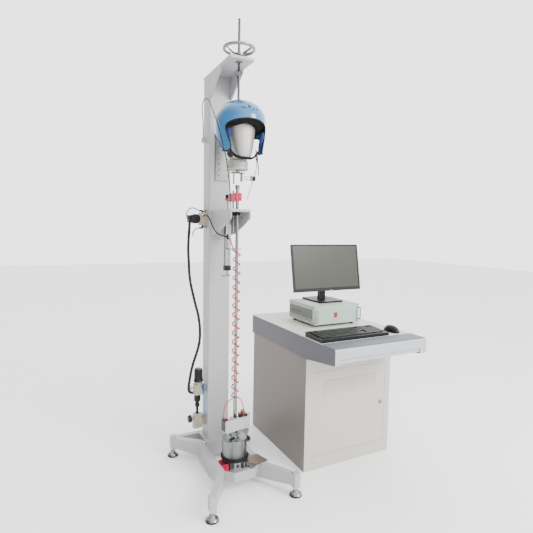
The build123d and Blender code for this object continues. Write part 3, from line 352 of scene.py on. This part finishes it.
# Spiral hose round the guide rod, wound about an axis spline
coil = {"radius": 0.01775, "tube": 0.0065, "turns": 16, "steps": 30, "sides": 10, "startAngle": 188,
        "endAngle": 155, "top": 1.2, "keep": 0.36 / 0.76}
coilAxisRoute = [(0, 0, 0.4433), (0, 0, 0.560), (0, 0, 0.820), (0, 0, 1.080), (0, 0, 1.1967)]


def splinePoints(route):
    holder = bpy.data.objects.new("axis", routeCurve("axis", route, 24))
    scene.collection.objects.link(holder)
    read = bpy.data.meshes.new_from_object(holder.evaluated_get(bpy.context.evaluated_depsgraph_get()))
    points = [vertex.co.copy() for vertex in read.vertices]
    bpy.data.objects.remove(holder)
    bpy.data.meshes.remove(read)
    return points


coilAxis = splinePoints(coilAxisRoute)
coilFoot, coilHead = coilAxis[0], coilAxis[-1]


def coilPoint(share):
    sweep = math.radians(coil["startAngle"]) + share * (math.radians(
        coil["endAngle"] - coil["startAngle"]) - 2 * math.pi * coil["turns"])
    centre = coilFoot.lerp(coilHead, share)
    return centre + Vector((coil["radius"] * math.cos(sweep), coil["radius"] * math.sin(sweep), 0))


def tubeMesh(name, path, radius, sides):
    shape = bmesh.new()
    rings = []
    for number, point in enumerate(path):
        before = path[max(0, number - 1)]
        after = path[min(len(path) - 1, number + 1)]
        along = (after - before).normalized()
        out = along.orthogonal().normalized() if not rings else (out - along * out.dot(along)).normalized()
        side = along.cross(out)
        rings.append([shape.verts.new(point + radius * (out * math.cos(a) + side * math.sin(a)))
                      for a in (2 * math.pi * k / sides for k in range(sides))])
    for ring, following in zip(rings, rings[1:]):
        for k in range(sides):
            shape.faces.new((ring[k], ring[(k + 1) % sides], following[(k + 1) % sides], following[k]))
    shape.faces.new(list(reversed(rings[0])))
    shape.faces.new(rings[-1])
    bmesh.ops.recalc_face_normals(shape, faces=shape.faces)
    data = bpy.data.meshes.new(name)
    shape.to_mesh(data)
    shape.free()
    for face in data.polygons:
        face.use_smooth = True
    return data


steps = coil["turns"] * coil["steps"]
coilPath = [coilPoint(k / steps) for k in range(steps + 1)]
coilMesh = tubeMesh("coilHose", coilPath, coil["tube"] / 2, coil["sides"])
coilMesh.materials.append(redHose)
coilHose = addObject("coilHose", coilMesh, "root")
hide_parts("coil_hose")
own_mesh(coilHose)

# Helmet: a thin double-curved shell with its face opening and lower rim cut across
helmet = {"centreY": -0.020, "midZ": 1.815, "half": 0.121, "length": 0.139, "height": 0.102, "lowZ": 1.6515,
          "shell": 0.004, "around": 120, "capRings": 30, "skirtRings": 24}
faceProfile = [(-0.30, 1.8072), (-0.157, 1.8068), (-0.144, 1.8022), (-0.127, 1.7975), (-0.108, 1.7900),
               (-0.096, 1.7830), (-0.090, 1.7750), (-0.0895, 1.7630), (-0.093, 1.7475), (-0.098, 1.7280),
               (-0.1034, 1.7080), (-0.1062, 1.6887), (-0.1045, 1.6760), (-0.098, 1.6680), (-0.086, 1.6635),
               (-0.076, 1.6655), (-0.067, 1.6720), (-0.0457, 1.6960), (-0.022, 1.7260), (-0.006, 1.7440),
               (0.014, 1.7560), (0.045, 1.7610), (0.119, 1.7560), (0.30, 1.7560), (0.30, 1.60), (-0.30, 1.60)]


def helmetPoint(form, inset, angle, step):
    tuckX = tuckY = 0
    wide = 1
    if step <= helmet["capRings"]:
        lean = math.radians(90) * step / helmet["capRings"]
        wide = math.sin(lean)
        rise = helmet["midZ"] + (form["height"] - inset) * math.cos(lean)
    else:
        share = (step - helmet["capRings"]) / helmet["skirtRings"]
        rise = helmet["midZ"] - share * (helmet["midZ"] - helmet["lowZ"])
        tuckX = 0.014 * share ** 2 - 0.001 * share
        tuckY = 0.016 * share ** 2
    return spot((form["half"] - inset - tuckX) * wide * math.cos(angle),
                form["centreY"] + (form["length"] - inset - tuckY) * wide * math.sin(angle), rise)


def meshOf(name, shape, smooth=True):
    bmesh.ops.recalc_face_normals(shape, faces=shape.faces)
    data = bpy.data.meshes.new(name)
    shape.to_mesh(data)
    shape.free()
    for face in data.polygons:
        face.use_smooth = smooth
    return data


def helmetForm(name, *surfaces):
    shape = bmesh.new()
    around = helmet["around"]
    angles = [2 * math.pi * k / around for k in range(around)]
    rims = []
    for form, inset in surfaces:
        pole = shape.verts.new(helmetPoint(form, inset, 0, 0))
        ring = [shape.verts.new(helmetPoint(form, inset, angle, 1)) for angle in angles]
        for k in range(around):
            shape.faces.new((pole, ring[k], ring[(k + 1) % around]))
        for step in range(2, helmet["capRings"] + helmet["skirtRings"] + 1):
            following = [shape.verts.new(helmetPoint(form, inset, angle, step)) for angle in angles]
            for k in range(around):
                shape.faces.new((ring[k], following[k], following[(k + 1) % around], ring[(k + 1) % around]))
            ring = following
        rims.append(ring)
    for k in range(around):
        shape.faces.new((rims[0][k], rims[1][k], rims[1][(k + 1) % around], rims[0][(k + 1) % around]))
    return meshOf(name, shape)


def addPrism(shape, profile, reach):
    near = [shape.verts.new(spot(-reach, y, z)) for y, z in profile]
    far = [shape.verts.new(spot(reach, y, z)) for y, z in profile]
    shape.faces.new(near)
    shape.faces.new(list(reversed(far)))
    count = len(profile)
    for k in range(count):
        shape.faces.new((near[k], far[k], far[(k + 1) % count], near[(k + 1) % count]))


def addDrum(shape, place, radius, height, sides=32, axis=(0, 0, 1)):
    aim = Vector(axis).to_track_quat("Z", "Y").to_matrix().to_4x4()
    bmesh.ops.create_cone(shape, cap_ends=True, segments=sides, radius1=radius, radius2=radius, depth=height,
                          matrix=Matrix.Translation(spot(*place)) @ aim)


def withoutCut(data, cutter):
    whole = bpy.data.objects.new("whole", data)
    tool = bpy.data.objects.new("tool", cutter)
    scene.collection.objects.link(whole)
    scene.collection.objects.link(tool)
    trim = whole.modifiers.new("trim", "BOOLEAN")
    trim.object = tool
    trim.operation = "DIFFERENCE"
    trim.solver = "EXACT"
    cut = bpy.data.meshes.new_from_object(whole.evaluated_get(bpy.context.evaluated_depsgraph_get()))
    bpy.data.objects.remove(whole)
    bpy.data.objects.remove(tool)
    return cut


shellCut = bmesh.new()
addPrism(shellCut, faceProfile, 0.2)
addDrum(shellCut, (0, 0, 1.915), 0.007, 0.06)
shellMesh = withoutCut(helmetForm("helmetShell", (helmet, 0), (helmet, helmet["shell"])),
                       meshOf("shellCut", shellCut))
shellMesh.materials.clear()
shellMesh.materials.append(helmetBlue)
helmetShell = addObject("helmetShell", shellMesh, "head")
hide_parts("helmet_shell")

# The liner's inner form; its outside follows the shell's inside
foamForm = {"centreY": -0.004, "half": 0.0785, "length": 0.1035, "height": 0.0935, "outerInset": 0.0043}
foamProfile = [(-0.30, 1.8095), (-0.150, 1.8085), (-0.127, 1.8000), (-0.108, 1.7930), (-0.092, 1.7850),
               (-0.070, 1.7790), (0.000, 1.7760), (0.045, 1.7660), (0.119, 1.7600), (0.30, 1.7600),
               (0.30, 1.60), (-0.30, 1.60)]
linerCut = bmesh.new()
addPrism(linerCut, foamProfile, 0.2)
addDrum(linerCut, (0, 0, 1.905), 0.008, 0.06)
linerMesh = withoutCut(helmetForm("helmetLiner", (helmet, foamForm["outerInset"]), (foamForm, 0)),
                       meshOf("linerCut", linerCut))
linerMesh.materials.clear()
linerMesh.materials.append(foamDark)
helmetLiner = addObject("helmetLiner", linerMesh, "head")
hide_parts("helmet_liner")


def rimPoint(side, y, z, inset=0.002):
    drop = max(0, helmet["midZ"] - z) / (helmet["midZ"] - helmet["lowZ"])
    lift = max(0, z - helmet["midZ"]) / (helmet["height"] - inset)
    wide = math.sqrt(1 - lift * lift)
    half = (helmet["half"] - inset - 0.014 * drop ** 2 + 0.001 * drop) * wide
    length = (helmet["length"] - inset - 0.016 * drop ** 2) * wide
    out = max(0, 1 - ((y - helmet["centreY"]) / length) ** 2)
    return spot(side * half * math.sqrt(out), y, z)


def rimPath():
    path = []
    high = []
    frontY = helmet["centreY"] - 0.1364
    rearY = helmet["centreY"] + 0.1348
    stretch = [(frontY, 1.8065)] + faceProfile[2:-3] + [(rearY, 1.756)]
    for (y0, z0), (y1, z1) in zip(stretch, stretch[1:]):
        for k in range(8):
            share = k / 8
            if y0 == frontY:
                share = share * share
            if y1 == rearY:
                share = 1 - (1 - share) ** 2
            high.append((y0 + (y1 - y0) * share, z0 + (z1 - z0) * share))
    high.append((rearY, 1.756))
    right = [rimPoint(1, y, z) for y, z in high]
    left = [rimPoint(-1, y, z) for y, z in high]
    for point in list(reversed(right)) + left:
        if not path or (point - path[-1]).length > 0.0015:
            path.append(point)
    return path


rimMesh = tubeMesh("helmetRim", rimPath(), 0.0032, 8)
rimMesh.materials.append(blackRubber)
helmetRim = addObject("helmetRim", rimMesh, "head")
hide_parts("helmet_shell")

# Each vent: bearing round the crown from the front, height, half length, half width, lean
vents = [(-4, 1.861, 0.0105, 0.0050, 110), (-18, 1.854, 0.0150, 0.0026, 170), (16, 1.851, 0.0055, 0.0042, 40),
         (5, 1.849, 0.0090, 0.0020, 20), (-50, 1.884, 0.0130, 0.0036, 0), (50, 1.884, 0.0130, 0.0036, 0),
         (150, 1.880, 0.0120, 0.0034, 0), (-150, 1.880, 0.0120, 0.0034, 0)]
ventShape = bmesh.new()
for bearing, rise, length, width, lean in vents:
    lift = (rise - helmet["midZ"]) / helmet["height"]
    wide = math.sqrt(1 - lift * lift)
    angle = math.radians(bearing - 90)
    x = helmet["half"] * wide * math.cos(angle)
    y = helmet["length"] * wide * math.sin(angle)
    facing = Vector((x / helmet["half"] ** 2, y / helmet["length"] ** 2,
                     (rise - helmet["midZ"]) / helmet["height"] ** 2)).normalized()
    aside = Vector((0, 0, 1)).cross(facing).normalized()
    axes = Matrix((aside, facing.cross(aside), facing)).transposed().to_4x4()
    place = Matrix.Translation(spot(x, y + helmet["centreY"], rise)) @ axes
    place = place @ Matrix.Rotation(math.radians(lean), 4, "Z") @ Matrix.Diagonal((length, width, 0.0009, 1))
    bmesh.ops.create_uvsphere(ventShape, u_segments=24, v_segments=12, radius=1, matrix=place)
ventMesh = meshOf("helmetVents", ventShape)
ventMesh.materials.append(blackPlastic)
addObject("helmetVents", ventMesh, "head")
print("helmet made")


# Headform: broad cast face, flat front, over a turned neck collar
faceRings = [(1.640, 0.036, -0.090, -0.004), (1.6415, 0.038, -0.092, 0.002), (1.655, 0.043, -0.0945, 0.016),
             (1.672, 0.049, -0.0965, 0.034), (1.690, 0.0545, -0.097, 0.050), (1.710, 0.0595, -0.096, 0.062),
             (1.735, 0.065, -0.095, 0.076), (1.765, 0.070, -0.095, 0.088), (1.795, 0.073, -0.094, 0.094),
             (1.820, 0.0725, -0.091, 0.092), (1.845, 0.068, -0.083, 0.085), (1.865, 0.060, -0.071, 0.073),
             (1.882, 0.046, -0.054, 0.057), (1.893, 0.032, -0.037, 0.040), (1.901, 0.017, -0.020, 0.023),
             (1.9045, 0.005, -0.006, 0.008)]
collarRings = [(1.589, 0.048), (1.592, 0.051), (1.603, 0.051), (1.605, 0.048), (1.609, 0.048), (1.611, 0.051),
               (1.632, 0.051), (1.635, 0.047), (1.6355, 0.044), (1.700, 0.044)]


def squareOval(half, front, rear, angle, rise):
    square = 2 / 2.7 if math.sin(angle) < 0 else 1
    c, s = math.cos(angle), math.sin(angle)
    x = half * math.copysign(abs(c) ** square, c)
    y = (front + rear) / 2 + (rear - front) / 2 * math.copysign(abs(s) ** square, s)
    return spot(x, y, rise)


def addRings(shape, rings):
    for ring, following in zip(rings, rings[1:]):
        count = len(ring)
        for k in range(count):
            shape.faces.new((ring[k], ring[(k + 1) % count], following[(k + 1) % count], following[k]))
    shape.faces.new(list(reversed(rings[0])))
    shape.faces.new(rings[-1])


headShape = bmesh.new()
turnSteps = [2 * math.pi * (k + 0.5) / 72 for k in range(72)]
addRings(headShape, [[headShape.verts.new(squareOval(half, front, rear, a, rise)) for a in turnSteps]
                     for rise, half, front, rear in faceRings])
addRings(headShape, [[headShape.verts.new(spot(r * math.cos(a), r * math.sin(a), rise)) for a in turnSteps]
                     for rise, r in collarRings])
addDrum(headShape, (0, 0, 1.584), 0.009, 0.0098)
headMesh = meshOf("headform", headShape)
headMesh.materials.append(satinCast)
headPiece = addObject("headformCast", headMesh, "head")
creases = headPiece.modifiers.new("creases", "EDGE_SPLIT")
creases.split_angle = math.radians(38)
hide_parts("headform")
print("headform made")

# Cabinet door with pressed louvres
door = {"x0": 0.4033, "x1": 0.904, "z0": 0.075, "z1": 0.544, "front": -0.113, "skin": 0.002, "depth": 0.018,
        "louvreX": (0.468, 0.845), "louvreZ": 0.411, "pitch": 0.014, "rows": 6}


def addBlock(shape, x0, x1, y0, y1, z0, z1):
    size = Matrix.Diagonal((x1 - x0, y1 - y0, z1 - z0, 1))
    place = Matrix.Translation(spot((x0 + x1) / 2, (y0 + y1) / 2, (z0 + z1) / 2))
    return bmesh.ops.create_cube(shape, size=1, matrix=place @ size)["verts"]


doorShape = bmesh.new()
addBlock(doorShape, door["x0"], door["x1"], door["front"], door["front"] + door["skin"], door["z0"], door["z1"])
for x0, x1 in ((door["x0"], door["x0"] + 0.002), (door["x1"] - 0.002, door["x1"])):
    addBlock(doorShape, x0, x1, door["front"] + 0.0021, door["front"] + door["depth"], door["z0"], door["z1"])
for z0, z1 in ((door["z0"], door["z0"] + 0.002), (door["z1"] - 0.002, door["z1"])):
    addBlock(doorShape, door["x0"] + 0.0021, door["x1"] - 0.0021, door["front"] + 0.0021,
             door["front"] + door["depth"], z0, z1)
bmesh.ops.bevel(doorShape, geom=doorShape.edges[:], offset=0.0005, segments=2, affect="EDGES")
doorCut = bmesh.new()
addDrum(doorCut, (0.876, door["front"], 0.307), 0.00905, 0.02, 32, (0, 1, 0))
# Way for the lock's cam through the door's edge
addBlock(doorCut, door["x1"] - 0.003, door["x1"] + 0.001, door["front"] + door["skin"],
         door["front"] + door["depth"] + 0.001, 0.295, 0.345)
doorMesh = withoutCut(meshOf("doorPanel", doorShape, smooth=False), meshOf("doorCut", doorCut))
louvreShape = bmesh.new()
louvreShape.from_mesh(doorMesh)
for row in range(door["rows"]):
    low = door["louvreZ"] + door["pitch"] * row
    left, right = door["louvreX"]
    rib = [(0.0005, 0), (-0.0042, 0.0012), (-0.0046, 0.0024), (0.0005, 0.0105)]
    ends = []
    for x, tuck in ((left, 1), (left + 0.006, 0), (right - 0.006, 0), (right, 1)):
        ends.append([louvreShape.verts.new(spot(x, door["front"] + (0.0005 if tuck else y),
                                                low + z + tuck * 0.001)) for y, z in rib])
    for ring, following in zip(ends, ends[1:]):
        for k in range(4):
            louvreShape.faces.new((ring[k], ring[(k + 1) % 4], following[(k + 1) % 4], following[k]))
    louvreShape.faces.new(ends[0])
    louvreShape.faces.new(list(reversed(ends[-1])))
doorMesh = meshOf("cabinetDoor", louvreShape, smooth=False)
doorMesh.materials.clear()
doorMesh.materials.append(cabinetFront)
doorPiece = addObject("cabinetDoorPanel", doorMesh, "door")
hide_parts("cabinet_door")
print("door made")


# Instrument's side panels, the screen's light and the ties round the thick bundle
def roundedBlock(name, box, offset, surface, body, segments=3):
    shape = bmesh.new()
    addBlock(shape, *box)
    bmesh.ops.bevel(shape, geom=shape.edges[:], offset=offset, segments=segments, affect="EDGES")
    data = meshOf(name, shape, smooth=False)
    data.materials.append(surface)
    made = addObject(name, data, body)
    return made


for name, x0, x1 in (("leftSidePanel", 0.5098, 0.5112), ("rightSidePanel", 0.8278, 0.8292)):
    roundedBlock(name, (x0, x1, 0.076, 0.331, 0.7865, 0.8430), 0.0005, panelGreen, "root")
roundedBlock("screenLight", (0.690, 0.712, 0.1605, 0.1635, 0.9375, 0.9405), 0.0006, silver, "screen")
for number, height in enumerate((0.560, 0.665, 0.920, 1.130)):
    tieShape = bmesh.new()
    near = min(bundleRoute, key=lambda point: abs(point[2] - height))
    addDrum(tieShape, near, 0.0084, 0.004, 28)
    tieMesh = meshOf("bundleTie", tieShape, smooth=False)
    tieMesh.materials.append(blackRubber)
    tie = addObject("bundleTie" + str(number), tieMesh, "root")
print("desk details added")


# Ear pads, blown up as cloth from slightly smaller forms
padSizes = {"outX": 0.0900, "y": -0.073, "z": 1.714, "half": (0.0075, 0.026, 0.054), "voxel": 0.0045,
            "pressure": 4, "frames": 20, "cap": 0.004}


def padForm(side):
    shape = bmesh.new()
    halfX, halfY, halfZ = padSizes["half"]
    lean = Matrix.Rotation(math.radians(-19 * side), 4, "Z") @ Matrix.Rotation(math.radians(6.4 * side), 4, "Y")
    lean = lean @ Matrix.Rotation(math.radians(8), 4, "X")
    place = Matrix.Translation(spot(side * padSizes["outX"], padSizes["y"], padSizes["z"])) @ lean
    bmesh.ops.create_cube(shape, size=2, matrix=place @ Matrix.Diagonal((halfX, halfY, halfZ, 1)))
    bmesh.ops.bevel(shape, geom=shape.edges[:], offset=0.006, segments=4, profile=0.6, affect="EDGES")
    return meshOf("earPad", shape)


def blownUp(piece):
    remesh = piece.modifiers.new("remesh", "REMESH")
    remesh.mode = "VOXEL"
    remesh.voxel_size = padSizes["voxel"]
    graph = bpy.context.evaluated_depsgraph_get()
    piece.data = bpy.data.meshes.new_from_object(piece.evaluated_get(graph))
    piece.modifiers.clear()
    rest = [vertex.co.copy() for vertex in piece.data.vertices]
    cloth = piece.modifiers.new("cloth", "CLOTH")
    cloth.settings.use_pressure = True
    cloth.settings.uniform_pressure_force = padSizes["pressure"]
    cloth.settings.effector_weights.gravity = 0
    for moment in range(1, padSizes["frames"] + 1):
        scene.frame_set(moment)
    graph = bpy.context.evaluated_depsgraph_get()
    blown = bpy.data.meshes.new_from_object(piece.evaluated_get(graph))
    piece.modifiers.clear()
    for vertex, start in zip(blown.vertices, rest):
        move = vertex.co - start
        if move.length > padSizes["cap"]:
            vertex.co = start + move.normalized() * padSizes["cap"]
    piece.data = blown
    scene.frame_set(1)
    finer = piece.modifiers.new("finer", "SUBSURF")
    finer.levels = 1
    graph = bpy.context.evaluated_depsgraph_get()
    piece.data = bpy.data.meshes.new_from_object(piece.evaluated_get(graph))
    piece.modifiers.clear()
    for face in piece.data.polygons:
        face.use_smooth = True


for side, name in ((-1, "leftEarPad"), (1, "rightEarPad")):
    pad = addObject(name, padForm(side), "head")
    blownUp(pad)
    pad.data.materials.clear()
    pad.data.materials.append(padBlue)
    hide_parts("helmet_liner")
print("pads blown")


# Straps, laid as flat bands along listed points
def smoothPath(points, steps=10):
    spots = [Vector(p) for p in points]
    spots = [spots[0] * 2 - spots[1]] + spots + [spots[-1] * 2 - spots[-2]]
    path = []
    for a, b, c, d in zip(spots, spots[1:], spots[2:], spots[3:]):
        for k in range(steps):
            t = k / steps
            path.append(0.5 * (2 * b + (c - a) * t + (2 * a - 5 * b + 4 * c - d) * t * t
                               + (3 * b - a - 3 * c + d) * t ** 3))
    path.append(spots[-2])
    return path


def bandMesh(name, points, width, thick, crossways):
    shape = bmesh.new()
    path = smoothPath(points)
    wide = Vector(crossways).normalized()
    rings = []
    for number, point in enumerate(path):
        along = (path[min(len(path) - 1, number + 1)] - path[max(0, number - 1)]).normalized()
        over = (wide - along * wide.dot(along)).normalized()
        face = along.cross(over)
        corners = [(-0.5, -0.5), (-0.5, 0.5), (0.5, 0.5), (0.5, -0.5)]
        rings.append([shape.verts.new(point + dropAxis + over * width * a + face * thick * b)
                      for a, b in corners])
    for ring, following in zip(rings, rings[1:]):
        for k in range(4):
            shape.faces.new((ring[k], ring[(k + 1) % 4], following[(k + 1) % 4], following[k]))
    shape.faces.new(rings[0])
    shape.faces.new(list(reversed(rings[-1])))
    bmesh.ops.bevel(shape, geom=[e for e in shape.edges if e.calc_face_angle(0) > 1.2], offset=thick * 0.3,
                    segments=2, affect="EDGES")
    return meshOf(name, shape)


straps = [
    ("chinBand", [(-0.0835, -0.077, 1.735), (-0.0790, -0.078, 1.692), (-0.0680, -0.080, 1.663),
                  (-0.0520, -0.083, 1.6480), (-0.0320, -0.088, 1.6385), (-0.0150, -0.0935, 1.6365),
                  (0, -0.0950, 1.6362), (0.0150, -0.0935, 1.6365), (0.0320, -0.088, 1.6385),
                  (0.0520, -0.083, 1.6480), (0.0680, -0.080, 1.663), (0.0790, -0.078, 1.692),
                  (0.0835, -0.077, 1.735)], 0.016, 0.0022, (0, 0.8, -0.6)),
    ("rearBand", [(0.0925, -0.012, 1.694), (0.091, -0.024, 1.676), (0.085, -0.042, 1.655),
                  (0.077, -0.058, 1.640), (0.070, -0.068, 1.634)], 0.013, 0.0018, (0.5, 0.75, 0.5)),
    ("looseEnd", [(0.0745, -0.064, 1.640), (0.078, -0.066, 1.622), (0.0815, -0.064, 1.600),
                  (0.083, -0.060, 1.580), (0.085, -0.058, 1.566)], 0.012, 0.0016, (0.2, 0.97, 0))]
for name, points, width, thick, crossways in straps:
    bandData = bandMesh(name, points, width, thick, crossways)
    bandData.materials.append(webbing)
    band = addObject(name, bandData, "head")
    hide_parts("chin_strap")

buckleShape = bmesh.new()
for x, z, size in ((0.066, 1.663, (0.0085, 0.024, 0.026)), (-0.0665, 1.662, (0.0085, 0.026, 0.030))):
    tip = Matrix.Rotation(math.radians(30 if x > 0 else -30), 4, "Y")
    place = Matrix.Translation(spot(x, -0.075, z)) @ tip @ Matrix.Diagonal((*size, 1))
    bmesh.ops.create_cube(buckleShape, size=1, matrix=place)
bmesh.ops.bevel(buckleShape, geom=buckleShape.edges[:], offset=0.002, segments=3, affect="EDGES")
addDrum(buckleShape, (-0.0735, -0.082, 1.652), 0.017, 0.007, 36, (-0.8, -0.5, -0.3))
buckleMesh = meshOf("strapBuckles", buckleShape, smooth=False)
buckleMesh.materials.append(blackPlastic)
buckles = addObject("strapBuckles", buckleMesh, "head")
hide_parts("chin_strap")
print("straps laid")

# Stage and light
studio = {"floorSize": 14, "strength": 3.0, "darkFrom": -0.9, "paleFrom": -0.05, "darkShare": 0.16}
floorMesh = bpy.data.meshes.new("floor")
floorShape = bmesh.new()
bmesh.ops.create_grid(floorShape, x_segments=1, y_segments=1, size=studio["floorSize"])
floorShape.to_mesh(floorMesh)
floorShape.free()
floorMesh.materials.append(material("floorPaint", (0.95, 0.95, 0.95), roughness=0.75, mottle=0.01))
floor = bpy.data.objects.new("floor", floorMesh)
scene.collection.objects.link(floor)

world = bpy.data.worlds.new("studio")
scene.world = world
world.use_nodes = True
world.node_tree.nodes["Background"].inputs["Strength"].default_value = studio["strength"]
sky = world.node_tree
skyPlace = sky.nodes.new("ShaderNodeTexCoord")
skyParts = sky.nodes.new("ShaderNodeSeparateXYZ")
sky.links.new(skyPlace.outputs["Generated"], skyParts.inputs["Vector"])
skyShade = sky.nodes.new("ShaderNodeMapRange")
skyShade.interpolation_type = "SMOOTHSTEP"
skyShade.inputs["From Min"].default_value = studio["darkFrom"]
skyShade.inputs["From Max"].default_value = studio["paleFrom"]
skyShade.inputs["To Min"].default_value = studio["darkShare"]
skyShade.inputs["To Max"].default_value = 1
sky.links.new(skyParts.outputs["X"], skyShade.inputs["Value"])
skyTone = sky.nodes.new("ShaderNodeCombineColor")
for channel in ("Red", "Green", "Blue"):
    sky.links.new(skyShade.outputs["Result"], skyTone.inputs[channel])
sky.links.new(skyTone.outputs["Color"], sky.nodes["Background"].inputs["Color"])


def softLight(name, place, aim, size, power):
    data = bpy.data.lights.new(name, "AREA")
    data.size = size
    data.energy = power
    made = bpy.data.objects.new(name, data)
    scene.collection.objects.link(made)
    start = spot(*place)
    facing = (spot(*aim) - start).to_track_quat("-Z", "Y").to_matrix().to_4x4()
    made.matrix_world = Matrix.Translation(start) @ facing


softLight("keyLight", (2.4, -3.6, 3.2), (0.1, 0, 0.9), 1.8, 210)
softLight("fillLight", (-3.4, -2.8, 2.2), (0.2, 0, 0.8), 2.6, 12)
print("stage set")
